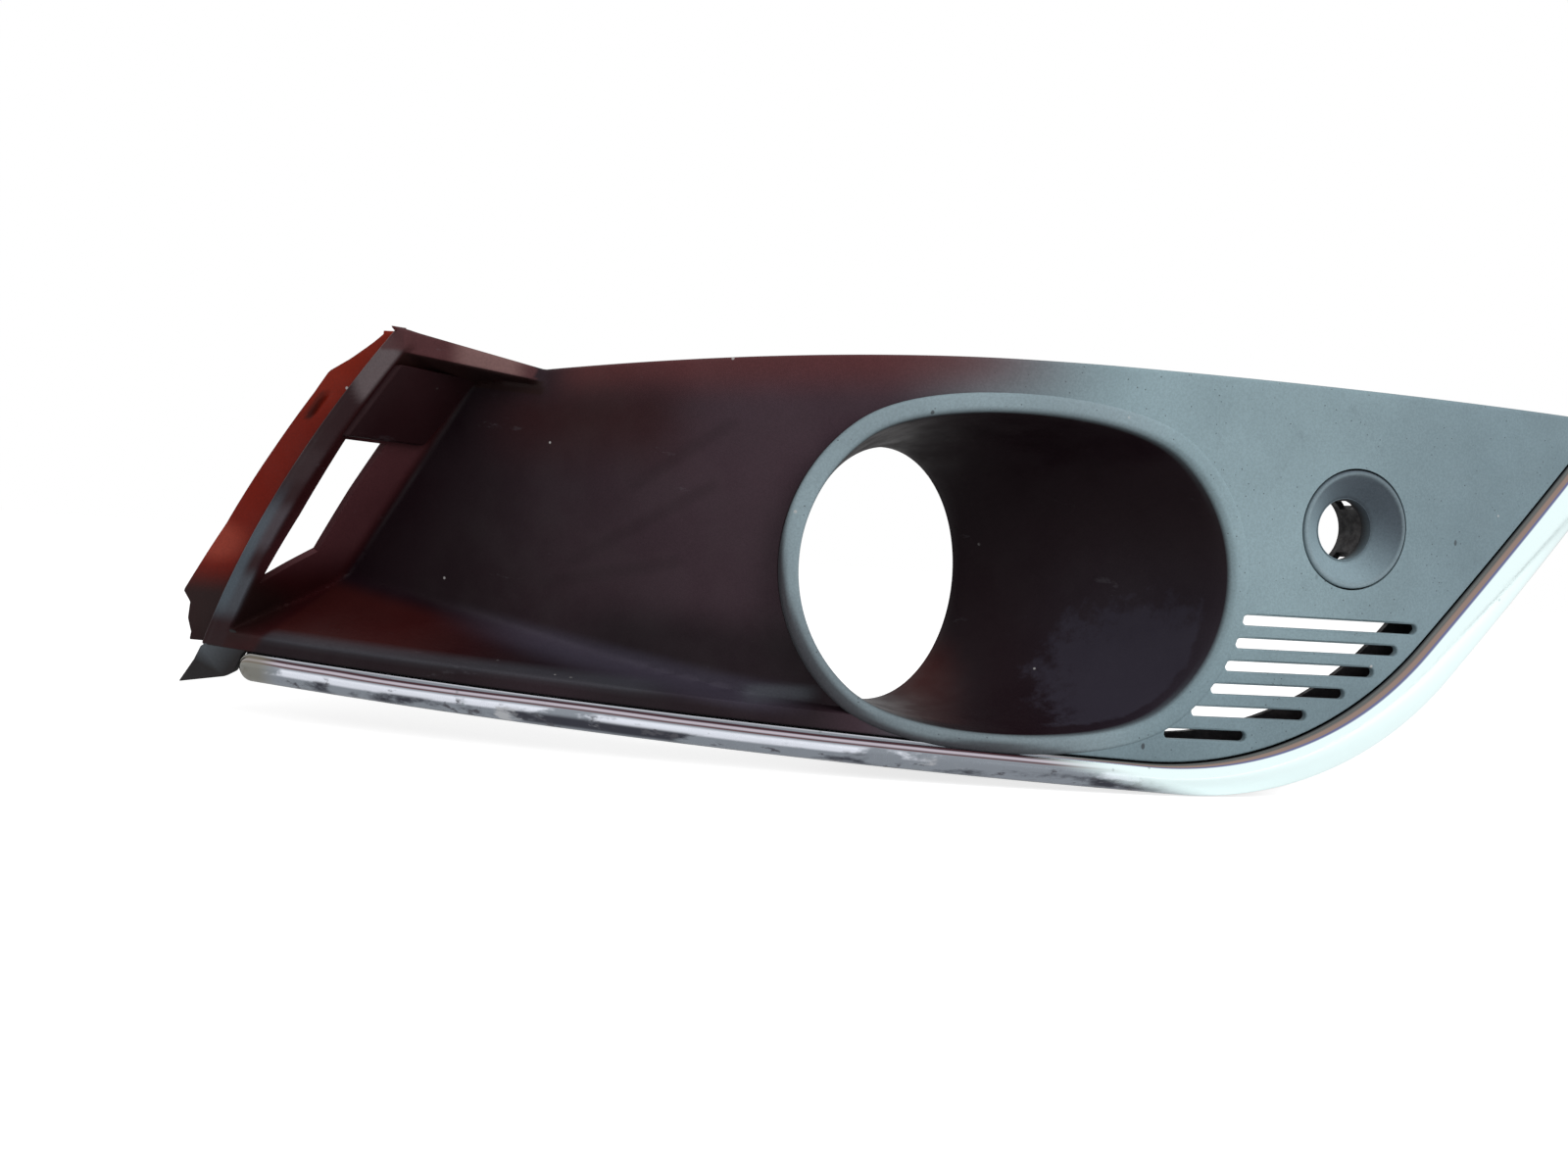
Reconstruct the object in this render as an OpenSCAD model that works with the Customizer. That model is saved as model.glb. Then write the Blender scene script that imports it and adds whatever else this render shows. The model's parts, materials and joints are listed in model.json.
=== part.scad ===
// Fog lamp bezel for the left-hand side of a car's front bumper: a moulded surround with a
// lamp bowl, an air scoop, vent slots and a parking sensor seat, edged with a bright trim.
// X runs along the bezel, right is its inner end. Y points into the car and Z up.
// The origin is the centre of the lamp bore, where the fog lamp's lens sits.
// Shapes are drawn in the face frame, whose zero is the front of the face at mid length,
// level with the lamp, and moved to the origin at the end.

/* [Face] */
// Radius of the face seen from above
face_r = 700; // [550:10:900]
// Height of the top edge over the lamp's centre
top_z = 73.5; // [68:0.5:84]
// How far the top edge falls towards the scoop
top_fall = 9.5; // [4:0.5:12]
// Wall of the moulding
wall = 2.5; // [2:0.1:2.7]
// Depth of the return along the top edge
return_depth = 9; // [6:0.5:14]
// Face left between the bowl's opening and the bottom edge's line, at mid length
seat_gap = 4; // [3.4:0.1:9]
// Fall of the bottom edge, degrees
seat_fall = 2.5; // [0:0.5:4]
// Where the slanted inner edge meets the top edge
tip_x = 236.5; // [225:0.5:250]
// Slant of the inner edge, degrees
tip_angle = 48.5; // [44:0.5:54]
// Radius between the bottom edge and the inner edge
corner_r = 127; // [100:1:150]
// Height of the plain lip between the scoop and the trim
lip_h = 6; // [5.6:0.1:9]

/* [Scoop] */
// Depth of the scoop at its outer end
scoop_depth = 45; // [35:1:52]
// Where the scoop starts to fall away from the face
scoop_start = 10; // [0:1:20]
// Rise of the scoop's lower wall at its outer end
ledge_rise = 18; // [14:1:24]
// Width of the rim around the scoop's outer end
rim_w = 9; // [7:0.5:12]
// Bow of the rim
rim_bow = 5.5; // [0:0.5:8]
// Set-back of the outer flange behind the rim
flange_back = 10; // [8:0.5:14]
// Width of the outer flange at its foot
flange_w = 19; // [12:0.5:21]
// Thickness of the pad over the air window
pad_t = 3; // [1.5:0.5:4]
// Height of the air window's top edge
window_top = 34; // [26:1:40]
// Height of the air window's bottom edge
window_foot = -18; // [-22:1:-8]

/* [Lamp] */
// Bore for the lamp's lens
lamp_d = 90; // [80:1:92]
// Turn of the lamp away from the face, degrees
lamp_turn = 42; // [34:1:46]
// Place of the lamp along the face
lamp_x = -24; // [-30:1:-18]
// Depth of the lamp bore's front edge behind the face
lamp_y = 42; // [38:1:52]
// Length of the bore behind the lamp's plane
bore_len = 3; // [2:0.5:6]
// Radius of the bowl's round ends
bowl_r = 52; // [50:0.5:53]
// Straight run between the bowl's round ends
bowl_run = 40; // [30:1:46]
// Middle of the bowl along the face
bowl_x = 15; // [12:0.5:18]
// Middle of the bowl over the lamp's centre
bowl_z = 3.8; // [2:0.2:5]
// Width of the bowl's lip
bowl_lip = 6.5; // [5:0.5:7]
// How far the bowl's lip stands proud of the face
lip_proud = 0.6; // [0.4:0.1:1.2]
// Pitch circle of the lamp's screws
lamp_pcd = 112; // [108:1:118]
// Outer diameter of a lamp boss
boss_d = 11; // [9:0.5:12]
// Length of a lamp boss behind the bore's front edge
boss_len = 14; // [12:1:18]
// Bore of the brass insert, for the lamp's M5 screw
insert_bore = 4.2; // [3.5:0.1:4.8]
// Outer diameter of the insert
insert_d = 6.4; // [5.8:0.1:7]
// Length of the insert
insert_len = 8; // [6:0.5:9]

/* [Sensor] */
// Place of the sensor along the face
sensor_x = 131.5; // [126:0.5:136]
// Height of the sensor over the lamp's centre
sensor_z = 26.5; // [24:0.5:32]
// Outer diameter of the sensor ring
sensor_ring_d = 40; // [36:0.5:42]
// Bore of the ring, for the sensor's face
sensor_d = 21; // [18:0.5:24]
// Depth of the ring's cone
sensor_depth = 5.5; // [4:0.5:7]
// Gap around the ring
sensor_gap = 0.6; // [0.4:0.1:1]
// Length of the holder behind the ring
holder_len = 16; // [12:1:20]

/* [Vent] */
// Number of slots
slots = 6; // [4:1:6]
// Height of a slot
slot_h = 3.2; // [2.5:0.1:3.8]
// Step from slot to slot
slot_pitch = 7.8; // [7:0.1:8]
// Height of the top slot over the lamp's centre
slot_z = -6.3; // [-8:0.1:-5]
// Face left between the slots and the bowl's opening
slot_gap = 8; // [7.5:0.1:10]
// Face left between the slots and the trim
slot_margin = 6; // [5:0.5:8]

/* [Trim] */
// Width of the trim along the bottom edge
trim_w_low = 10.3; // [8:0.1:12]
// Width of the trim along the inner edge
trim_w_tip = 18.9; // [14:0.1:20]
// How far the trim stands proud of the face
trim_proud = 1.5; // [1:0.1:3]
// Thickness of the trim's skin
trim_t = 2.2; // [1.8:0.1:2.6]
// Depth of the trim's channel behind the face
trim_depth = 3; // [2.5:0.1:4]
// Gap between the trim and the bezel's edge
trim_gap = 0.5; // [0.3:0.1:0.8]
// Left end of the trim
trim_left = -247; // [-250:1:-240]
// Diameter of a pin
pin_d = 3.2; // [2.6:0.1:4]
// Length of a pin behind the channel
pin_len = 7; // [6:0.5:9]
// How far the pins stand inside the trim's middle line
pin_in = 1.4; // [1.2:0.1:1.6]

/* [Fixings] */
// Diameter of a push nut
push_nut_d = 6.6; // [5.6:0.1:6.8]
// Thickness of spring steel
steel_t = 0.8; // [0.5:0.1:1]
// Width of a clip tab on the top return
tab_w = 14; // [12:0.5:18]
// Length of a clip tab
tab_len = 12; // [10:0.5:16]
// Clearance between a clip's leaves and its tab
clip_gap = 0.2; // [0.1:0.05:0.3]
// Hole in an ear for a mounting screw
screw_d = 5.5; // [5.2:0.1:6]
// Thread bore of the ear's folded nut, for an M5 screw
nut_bore = 4.2; // [4:0.1:4.6]
// Width of a screw ear
ear_w = 20; // [18:0.5:22]
// Gap between a screw ear and the seat's wall
ear_gap = 0.3; // [0.2:0.1:0.5]
// Depth of the trim backing behind the face
backing_depth = 12; // [10:0.5:16]
// Width of the trim backing inside the trim
backing_w = 8; // [6:1:24]
// Diameter of a backing screw
backing_screw_d = 3.6; // [3:0.1:4.2]

/* [Hidden] */
$fn = 48;
plastic = "#4c4e50";
bright = "#d8dcdf";
steel = "#8d9398";
brass = "#b08d45";
rubber = "#26272a";
dot = 0.6;

// ---- small helpers ----
function mix(a, b, t) = a + (b - a) * t;
function clamp01(t) = max(0, min(1, t));
function unit(v) = v / norm(v);
function reverse(list) = [for (i = [len(list) - 1:-1:0]) list[i]];

// A closed solid through rings of points, all rings alike. Its ends are joined to a torus, or
// filled with strips between the first and the second half of each end ring
module skin(rings, closed = false) {
    n = len(rings[0]);
    m = len(rings);
    steps = closed ? m : m - 1;
    sides = [for (i = [0:steps - 1]) for (j = [0:n - 1]) each quad(i, j, n, m)];
    near = [for (j = [0:n / 2 - 2]) each [[j, n - 2 - j, j + 1], [j, n - 1 - j, n - 2 - j]]];
    far = [for (t = near) reverse([for (k = t) k + (m - 1) * n])];
    polyhedron(points = [for (r = rings) each r],
        faces = closed ? sides : concat(sides, near, far));
}
// The two triangles between points j and j + 1 of rings i and i + 1
function quad(i, j, n, m) =
    let (a = i * n + j, b = i * n + (j + 1) % n,
        c = ((i + 1) % m) * n + (j + 1) % n, d = ((i + 1) % m) * n + j)
    [[a, c, d], [a, b, c]];

// ---- the face: a wide cylinder standing upright ----
function face_y(x) = face_r - sqrt(face_r * face_r - x * x);
function face_turn(x) = asin(x / face_r);
function on_face_at(p, depth = 0) = [p[0], face_y(p[0]) + depth, p[1]];

// Puts a piece square to the face at a place along it, with -Y out of the face
module on_face(p) {
    translate(on_face_at(p)) rotate([0, 0, face_turn(p[0])]) children();
}
// Gives a flat shape drawn in X and Z a depth through the whole part
module through() {
    translate([0, 130, 0]) rotate([90, 0, 0]) linear_extrude(160) children();
}
// The layer between two depths behind the face, cut to a flat shape
module face_layer(front, back) {
    intersection() {
        translate([0, face_r, -90]) difference() {
            cylinder(h = 190, r = face_r - front, $fn = 720);
            translate([0, 0, -1]) cylinder(h = 192, r = face_r - back, $fn = 720);
        }
        through() children();
    }
}

// ---- the edge line that the trim follows: a straight foot, a bend and a slanted side ----
seat_z0 = bowl_z - bowl_r - seat_gap;
tip_slope = tan(tip_angle);
foot_slope = tan(seat_fall);
corner_x = (seat_z0 - top_z + tip_slope * tip_x) / (tip_slope + foot_slope);
corner_z = seat_z0 - foot_slope * corner_x;
corner_run = corner_r * tan((seat_fall + tip_angle) / 2);
bend_from = [corner_x - corner_run * cos(seat_fall), corner_z + corner_run * sin(seat_fall)];
bend_to = [corner_x + corner_run * cos(tip_angle), corner_z + corner_run * sin(tip_angle)];
bend_mid = bend_from + corner_r * [sin(seat_fall), cos(seat_fall)];
bend_steps = 16;

function edge_z(x) =
    x < bend_from[0] ? seat_z0 - foot_slope * x
    : x < bend_to[0] ? bend_mid[1] - sqrt(corner_r * corner_r - pow(x - bend_mid[0], 2))
    : top_z - tip_slope * (tip_x - x);

// The edge line moved out by d and shifted, from x = left up to z = top
function edge_path(d, shift, left, top) =
    let (foot = [0, seat_z0] + d * [-sin(seat_fall), -cos(seat_fall)] + shift,
        side = [tip_x, top_z] + d * [sin(tip_angle), -cos(tip_angle)] + shift)
    concat(
        [[left, foot[1] - foot_slope * (left - foot[0])]],
        [for (i = [0:bend_steps])
            let (a = mix(-90 - seat_fall, -90 + tip_angle, i / bend_steps))
            bend_mid + shift + (corner_r + d) * [cos(a), sin(a)]],
        [[side[0] + (top - side[1]) / tip_slope, top]]);

// The shift that carries the edge line to the trim's outer line
trim_sin = sin(seat_fall + tip_angle);
trim_shift = [
    (cos(seat_fall) * trim_w_tip - cos(tip_angle) * trim_w_low) / trim_sin,
    -(sin(seat_fall) * trim_w_tip + sin(tip_angle) * trim_w_low) / trim_sin];
trim_top = top_z - 1;

// The trim's band with its inner side moved in by inner and its outer side by outer
module trim_band(inner, outer, left = trim_left, top = trim_top) {
    r = (trim_w_low - inner - outer) / 2;
    start = edge_path(inner, [0, 0], left + r, top)[0];
    polygon(concat(edge_path(inner, [0, 0], left + r, top),
        reverse(edge_path(-outer, trim_shift, left + r, top))));
    translate([start[0], start[1] - r]) circle(r = r);
}

// A place along the trim's middle, with s from 0 at its left end to 1 at its tip
foot_run = norm(bend_from - [trim_left, edge_z(trim_left)]);
bend_run = corner_r * (seat_fall + tip_angle) * PI / 180;
side_run = norm([tip_x, top_z] - bend_to);
trim_run = foot_run + bend_run + side_run;
function trim_middle(s) =
    let (t = s * trim_run,
        a = -90 - seat_fall + (t - foot_run) / corner_r * 180 / PI,
        p = t < foot_run ? bend_from - (foot_run - t) * [cos(seat_fall), -sin(seat_fall)]
            : t < foot_run + bend_run ? bend_mid + corner_r * [cos(a), sin(a)]
            : bend_to + (t - foot_run - bend_run) * [cos(tip_angle), sin(tip_angle)])
    p + trim_shift / 2;

// The way from the trim's middle towards the face's inside
function trim_turn(s) =
    -90 - seat_fall + clamp01((s * trim_run - foot_run) / bend_run) * (seat_fall + tip_angle);
function trim_in(s) = -[cos(trim_turn(s)), sin(trim_turn(s))];

// ---- the scoop ----
fall_from = 50;
fall_to = -148;
roof_slope = 0.23;
rim_top = [-194.5, 72];
rim_foot = [-262.6, -40];
crease_top = [-176, 57.5];
crease_slope = 0.664;
scoop_end_x = -200;
ledge_start = -68;
ledge_run = 158;
ledge_bend = 1.2;
slant_start = -100;
face_end_x = 226;

function top_edge(x) =
    let (bent = top_z - top_fall * pow(max(0, fall_from - max(x, fall_to))
        / (fall_from - fall_to), 2))
    bent - roof_slope * max(0, fall_to - x);
function scoop(x) =
    let (t = max(0, (scoop_start - x) / (scoop_start - scoop_end_x)))
    scoop_depth * t * t * (2 - t);
function scoop_y(x) = face_y(x) + scoop(x);
function lip_z(x) =
    let (low = edge_z(x))
    low + min(lip_h, (top_edge(x) - low) * 0.45);
ledge_low = 1;
function ledge_z(x) =
    lip_z(x) + mix(ledge_low, ledge_rise, pow(clamp01((ledge_start - x) / ledge_run), ledge_bend));

// The rim's outer and inner lines, and the crease where the end wall meets the scoop
rim_bow_x = rim_bow * norm(rim_top - rim_foot) / (rim_top[1] - rim_foot[1]);
function rim_u(z) = (rim_top[1] - z) / (rim_top[1] - rim_foot[1]);
function rim_x(z) =
    mix(rim_top[0], rim_foot[0], rim_u(z)) - rim_bow_x * 4 * rim_u(z) * (1 - rim_u(z));
function rim_in_x(z) = rim_x(z) + min(rim_w, 3 + rim_top[1] - z);
function rim_in(z) = [rim_in_x(z), face_y(rim_in_x(z))];
function crease(z) =
    let (x = crease_top[0] - crease_slope * (crease_top[1] - z)) [x, scoop_y(x)];
function wall_way(z) = unit(crease(z) - rim_in(z));
function wall_out(z) = let (d = wall_way(z)) [-d[1], d[0]];
// How much of the end wall stands at a height: none at the lip and at the peak
wall_low = lip_z(rim_foot[0] + rim_w);
wall_full = ledge_z(crease(-15)[0]);
function wall_part(z) = min(clamp01((z - wall_low) / (wall_full - wall_low)),
    clamp01((rim_top[1] - 1 - z) / (rim_top[1] - 1 - crease_top[1])));
// A point of the end wall, with t from 0 at the rim to 1 at the crease, and off behind it
function on_wall(t, z, off = 0) =
    let (p = mix(rim_in(z), crease(z), t) + wall_out(z) * off) [p[0], p[1], z];
function wall_end_x(z) = mix(rim_in(z), crease(z), wall_part(z))[0];

// One upright section of the scoop and the face, from the top return to the edge's return
station_x = concat(
    [face_end_x, 212, 198, 184, 170, 156, 142, 128, 114, 100, 84, 66, 45, 24, 5],
    [-12, -28, -44, -60, -76, -92, -106, -120, -134, -148, -162], [crease_top[0] - 1.2]);
floor_part = [0.12, 0.3, 0.5, 0.7, 0.86];
edge_return = 6;

function slant(xs) = clamp01((slant_start - xs) / (slant_start - crease_top[0]));
function leaning_x(xs, z) = xs + slant(xs) * (wall_end_x(z) - crease_top[0]);
function section(xs) =
    let (zt = top_edge(xs),
        xc = leaning_x(xs, wall_full), zc = ledge_z(xc),
        xl = leaning_x(xs, wall_low), zl = lip_z(xl),
        soft = min(4, scoop(xc) / 2),
        step = max(1, soft),
        yc = scoop_y(xc), yl = face_y(xl))
    concat(
        [[xs, scoop_y(xs) + return_depth, zt], [xs, scoop_y(xs), zt]],
        [for (f = floor_part) let (z = mix(zt - wall, zc + step, f), x = leaning_x(xs, z))
            [x, scoop_y(x), z]],
        [for (p = [[0, 1], [0.3, 0.3], [1, 0]])
            let (z = zc + p[1] * step) [leaning_x(xs, z), yc - p[0] * soft, z]],
        [for (g = [0.5, 1]) let (z = mix(zc, zl, g), x = leaning_x(xs, z))
            [x, mix(yc - soft, yl, g), z]],
        [[xl, yl, edge_z(xl)], [xl, yl + edge_return, edge_z(xl)]]);

// The way from one point of a section to the next, and the normal behind it
function yz_way(a, b) = unit([b[1] - a[1], b[2] - a[2]]);
function behind(way) = [-way[1], way[0]];
function wall_offset(p, i) =
    let (m = len(p) - 1,
        n1 = behind(i > 0 ? yz_way(p[i - 1], p[i]) : yz_way(p[0], p[1])),
        n2 = behind(i < m ? yz_way(p[i], p[i + 1]) : yz_way(p[m - 1], p[m])),
        n = unit(n1 + n2), reach = wall / max(0.5, n * n1))
    [0, n[0] * reach, n[1] * reach];

// The skin of the face, scoop, lip and returns in one curved sheet: a front and a back,
// both split along the same diagonals, with strips that close its four sides
module sheet() {
    fronts = [for (xs = station_x) section(xs)];
    backs = [for (p = fronts) [for (i = [0:len(p) - 1]) p[i] + wall_offset(p, i)]];
    n = len(fronts[0]);
    m = len(fronts);
    back = n * m;
    cells = [for (i = [0:m - 2]) for (j = [0:n - 2]) each cell(i * n + j, 1, n)];
    ends = concat(
        [for (j = [0:n - 2]) each cell(j, 1, back)],
        [for (i = [0:m - 2]) each cell(i * n + n - 1, n, back)]);
    far_ends = concat(
        [for (j = [0:n - 2]) each cell((m - 1) * n + j, 1, back)],
        [for (i = [0:m - 2]) each cell(i * n, n, back)]);
    polyhedron(
        points = concat([for (r = fronts) each r], [for (r = backs) each r]),
        faces = concat(cells, [for (f = cells) reverse(f) + [back, back, back]],
            [for (f = ends) reverse(f)], far_ends));
}
// The two triangles of a grid cell, from its first point by two steps
function cell(a, across, along) =
    [[a, a + across + along, a + along], [a, a + across, a + across + along]];

// ---- the rim, the end wall with its air window, and the outer flange ----
rim_levels = [-45, wall_low, -30, -23, -15, -5, 8, 21, 34, 46, crease_top[1], 63, 67, 70.5];
// The outer flange's width at each height, as a part of its width at the foot
flange_shape = [[-45, 0.4], [-38, 0.46], [-33, 0.65], [-27, 0.75], [-23, 1], [-15, 0.93],
    [2, 0.8], [30, 0.76], [50, 0.75], [57.5, 0.78], [62, 0.55], [67, 0.38], [70.5, 0.3]];
function flange_x(z) = 1 + (flange_w - 1) * lookup(z, flange_shape);

module end_frame() {
    skin([for (z = rim_levels)
        let (b = rim_in(z), way = wall_way(z), out = wall_out(z),
            xo = rim_x(z), yo = face_y(xo), xf = xo - flange_x(z),
            yf = face_y(xo) + flange_back + (xo - xf) * 0.3,
            a = b + way * max(wall * 2, norm(crease(z) - b) * wall_part(z) + wall * 0.8),
            slip = (wall - out[1] * wall) / way[1])
        [for (p = [a, b, [xo, yo], [xo, yo + flange_back], [xf, yf], [xf, yf + wall],
            [xo + wall, yo + flange_back + wall], [xo + wall, yo + wall],
            b + out * wall + way * slip, a + out * wall]) [p[0], p[1], z]]]);
}

// The block over the air window, standing proud of the end wall
module window_pad() {
    hull() for (z = [window_top + 1.5, crease_top[1] + 1], t = [0.02, 0.97], off = [0.5, -pad_t])
        translate(on_wall(t, z, off)) cube(dot, center = true);
}
window_from = 0.1;
window_to = 0.52;
module air_window() {
    hull() for (off = [-6, 9]) {
        for (t = [window_from, window_to])
            translate(on_wall(t, window_top, off)) cube(dot, center = true);
        translate(on_wall(window_to, window_foot + 12, off)) cube(dot, center = true);
        translate(on_wall(window_from, window_foot, off)) cube(dot, center = true);
    }
}

// The roof over the scoop's outer end, from the rim's peak to the top edge
roof_h = 8;
module roof() {
    meet = [fall_to + 2, top_edge(fall_to)];
    hull() {
        for (z = [rim_top[1] - 0.4, rim_top[1] - roof_h])
            translate([rim_in_x(z) - 2, face_y(rim_top[0]), z]) cube(dot, center = true);
        for (z = [meet[1] + 0.2, meet[1] - roof_h / 2])
            translate([meet[0], scoop_y(meet[0]), z]) cube(dot, center = true);
        for (z = [crease_top[1] - 1, crease_top[1] + 3]) {
            translate([crease_top[0], scoop_y(crease_top[0]) + 1.5, z]) cube(dot, center = true);
            translate([rim_in_x(z) - 1, face_y(rim_in_x(z)) + 5, z]) cube(dot, center = true);
        }
    }
}

// The foot of the rim, which the trim's round end tucks into
foot_tip = [-271.5, -55];
module foot() {
    end_z = edge_z(trim_left);
    hull() for (p = [[rim_x(-44), -43], foot_tip, [trim_left - 6, foot_tip[1] + 3.7],
        [trim_left - 1.4, end_z - trim_w_low + 3.5], [trim_left + 1, end_z - 0.5],
        [rim_in_x(wall_low) + 3, wall_low - 1]])
        translate([p[0] - 0.5, face_y(p[0]) + 0.8, p[1] - 0.5]) cube([1, 4, 1]);
}

// ---- the lamp bowl ----
bowl_sides = 48;
lamp_place = [lamp_x, lamp_y, 0];
module at_lamp() { translate(lamp_place) rotate([0, 0, lamp_turn]) children(); }
// A point of the bowl's opening, grown by d: round ends joined by a straight run
function bowl_rim(a, d) =
    let (s = sin(90 * max(-1, min(1, 1.6 * cos(a)))))
    [bowl_x + (bowl_r + d) * cos(a) + bowl_run / 2 * s, bowl_z + (bowl_r + d) * sin(a)];
// A point on the circle round the lamp bore, set back along the lamp
function lamp_rim(a, r, back) =
    [lamp_x + r * cos(a) * cos(lamp_turn) - back * sin(lamp_turn),
    lamp_y + r * cos(a) * sin(lamp_turn) + back * cos(lamp_turn), r * sin(a)];
// The bowl's wall bellies from the opening to the lamp
function belly(from, to, t) =
    let (m = [mix(from[0], to[0], 0.3), mix(from[1], to[1], 0.55), mix(from[2], to[2], 0.3)])
    mix(mix(from, m, t), mix(m, to, t), t);
lip_skirt = 10.5;
collar_wall = wall + 1;
bore_front = 1;

module bowl() {
    skin([for (i = [0:bowl_sides - 1])
        let (a = 360 * i / bowl_sides,
            mouth = on_face_at(bowl_rim(a, 0), -lip_proud),
            outer = on_face_at(bowl_rim(a, bowl_lip), -lip_proud),
            low = on_face_at(bowl_rim(a, bowl_lip),
                mix(6, lip_skirt, clamp01(-cos(a) * 1.5))),
            seat = lamp_rim(a, lamp_d / 2 - 0.5, 1),
            seat_end = lamp_rim(a, lamp_d / 2 - 0.5, bore_len),
            collar_end = lamp_rim(a, lamp_d / 2 + collar_wall, bore_len),
            collar = lamp_rim(a, lamp_d / 2 + collar_wall, bore_len * 0.7),
            inner = [for (t = [0.25, 0.5, 0.75]) belly(mouth, seat, t)],
            rear = [for (t = [0.7, 0.35]) belly(low, collar, t)])
        concat([low, outer, mouth], inner, [seat, seat_end, collar_end, collar], rear)],
        closed = true);
}
module bowl_cut() {
    through() polygon([for (i = [0:bowl_sides - 1]) bowl_rim(360 * i / bowl_sides, 2.5)]);
}
module lamp_bore() {
    at_lamp() translate([0, -bore_front, 0]) rotate([-90, 0, 0])
        cylinder(h = bore_len + boss_len + 2, d = lamp_d, $fn = 96);
}

// The screw bosses stand round the collar
boss_turn = [90, 270];
boss_front = 9;
boss_rib = 2.4;
module at_boss(i) {
    at_lamp() rotate([0, boss_turn[i], 0]) translate([lamp_pcd / 2, boss_len, 0])
        rotate([90, 0, 0]) children();
}
module lamp_boss(i) {
    at_boss(i) {
        cylinder(h = boss_len + boss_front, d = boss_d);
        translate([(lamp_d - lamp_pcd) / 2 + 1, -boss_rib / 2, 3])
            cube([(lamp_pcd - lamp_d) / 2, boss_rib, boss_len - 3.5]);
    }
}

// ---- the sensor seat ----
sensor_place = [sensor_x, sensor_z];
seat_r = sensor_ring_d / 2 + sensor_gap;
ledge_at = sensor_depth + 0.3;
module sensor_seat() {
    on_face(sensor_place) rotate([-90, 0, 0]) {
        translate([0, 0, 1]) cylinder(h = ledge_at + wall - 1, r = seat_r + wall, $fn = 64);
    }
}
module sensor_hole() {
    on_face(sensor_place) rotate([-90, 0, 0]) {
        translate([0, 0, -3]) cylinder(h = ledge_at + 3, r = seat_r, $fn = 64);
        translate([0, 0, -3])
            cylinder(h = ledge_at + wall + 6, d = sensor_ring_d - 2 * ring_skirt - 1, $fn = 64);
    }
}

// ---- the vent ----
function slot_left(z) =
    bowl_x + bowl_run / 2 + sqrt(pow(bowl_r + slot_gap, 2) - pow(z - bowl_z, 2));
// The edge line moved in by the margin, read at a height
function slot_right(z) =
    let (inner = corner_r - slot_margin,
        side = tip_x - (top_z - z) / tip_slope - slot_margin / sin(tip_angle),
        bend_top = bend_mid[1] - inner * cos(tip_angle))
    z > bend_top ? side : bend_mid[0] + sqrt(inner * inner - pow(z - bend_mid[1], 2));
module vent() {
    through() for (i = [0:slots - 1]) {
        z = slot_z - i * slot_pitch;
        from = slot_left(z);
        to = slot_right(z);
        translate([from, z - slot_h / 2]) square([to - from, slot_h]);
        for (x = [from, to]) translate([x, z]) circle(d = slot_h, $fn = 24);
    }
}

// ---- the seat that the trim sits on ----
seat_front = trim_depth + 0.2;
seat_back = seat_front + wall;
module trim_seat() {
    face_layer(seat_front, seat_back) trim_band(-1.2, 0.6);
    face_layer(seat_front, backing_depth) difference() {
        trim_band(1, 0.6);
        trim_band(-10, 0.6 + wall, trim_left + wall, trim_top + 20);
    }
}
pin_stops = [0.08, 0.25, 0.42, 0.58, 0.75, 0.9];
function pin_place(i) = trim_middle(pin_stops[i]) + pin_in * trim_in(pin_stops[i]);
module pin_holes() {
    for (i = [0:len(pin_stops) - 1]) on_face(pin_place(i)) rotate([-90, 0, 0])
        cylinder(h = 30, d = pin_d + 0.8);
}

// ---- the bezel ----
tab_t = wall - 0.5;
tab_x = [-62, 30, 110, 180];
module clip_tab(x) {
    translate([x - tab_w / 2, scoop_y(x) + return_depth - 5, top_edge(x) - wall + 0.2])
        cube([tab_w, tab_len + 5, tab_t]);
}
// Screw ears: plates that reach inwards from the seat's outer wall, behind the lip. They are
// nodes of their own, so that their screw holes stay open in the collision shapes
ear_front = backing_depth - wall;
ear_stops = [0.225, 0.965];
ear_turns = [seat_fall, -tip_angle];
// The seat's wall runs straight back, so on the turned side a plate starts further out
ear_lean = backing_depth / 2 * tan(face_turn(tip_x)) * sin(tip_angle);
ear_foot = [trim_w_low / 2 - 1, trim_w_tip / 2 - 1 + ear_lean];
ear_up = [4, 3.4];
ear_top = 8.2;
// Stands a piece on the trim's middle line, with +Z towards the face's inside
module at_ear(i) {
    on_face(trim_middle(ear_stops[i])) rotate([0, ear_turns[i], 0]) children();
}
module screw_ear(i) {
    color(plastic) difference() {
        intersection() {
            at_ear(i) translate([-ear_w / 2, ear_front, -ear_foot[i]])
                cube([ear_w, wall, ear_foot[i] + ear_top]);
            through() trim_band(-20, 0.6 + wall + ear_gap, trim_left, trim_top + 20);
        }
        at_ear(i) translate([0, ear_front - 2, ear_up[i]]) rotate([-90, 0, 0])
            cylinder(h = 30, d = screw_d);
    }
}
// Bosses behind the seat that hold the trim backing
backing_places = [for (s = [0.615, 0.73, 0.845]) trim_middle(s)];
module backing_boss(p) {
    on_face(p) rotate([-90, 0, 0]) translate([0, 0, seat_front + 0.5])
        cylinder(h = backing_depth - seat_front - 0.5, d = backing_screw_d + 4.4);
}
module backing_hole(p) {
    on_face(p) rotate([-90, 0, 0]) translate([0, 0, seat_front - 2])
        cylinder(h = 20, d = backing_screw_d - 0.6);
}

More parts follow.
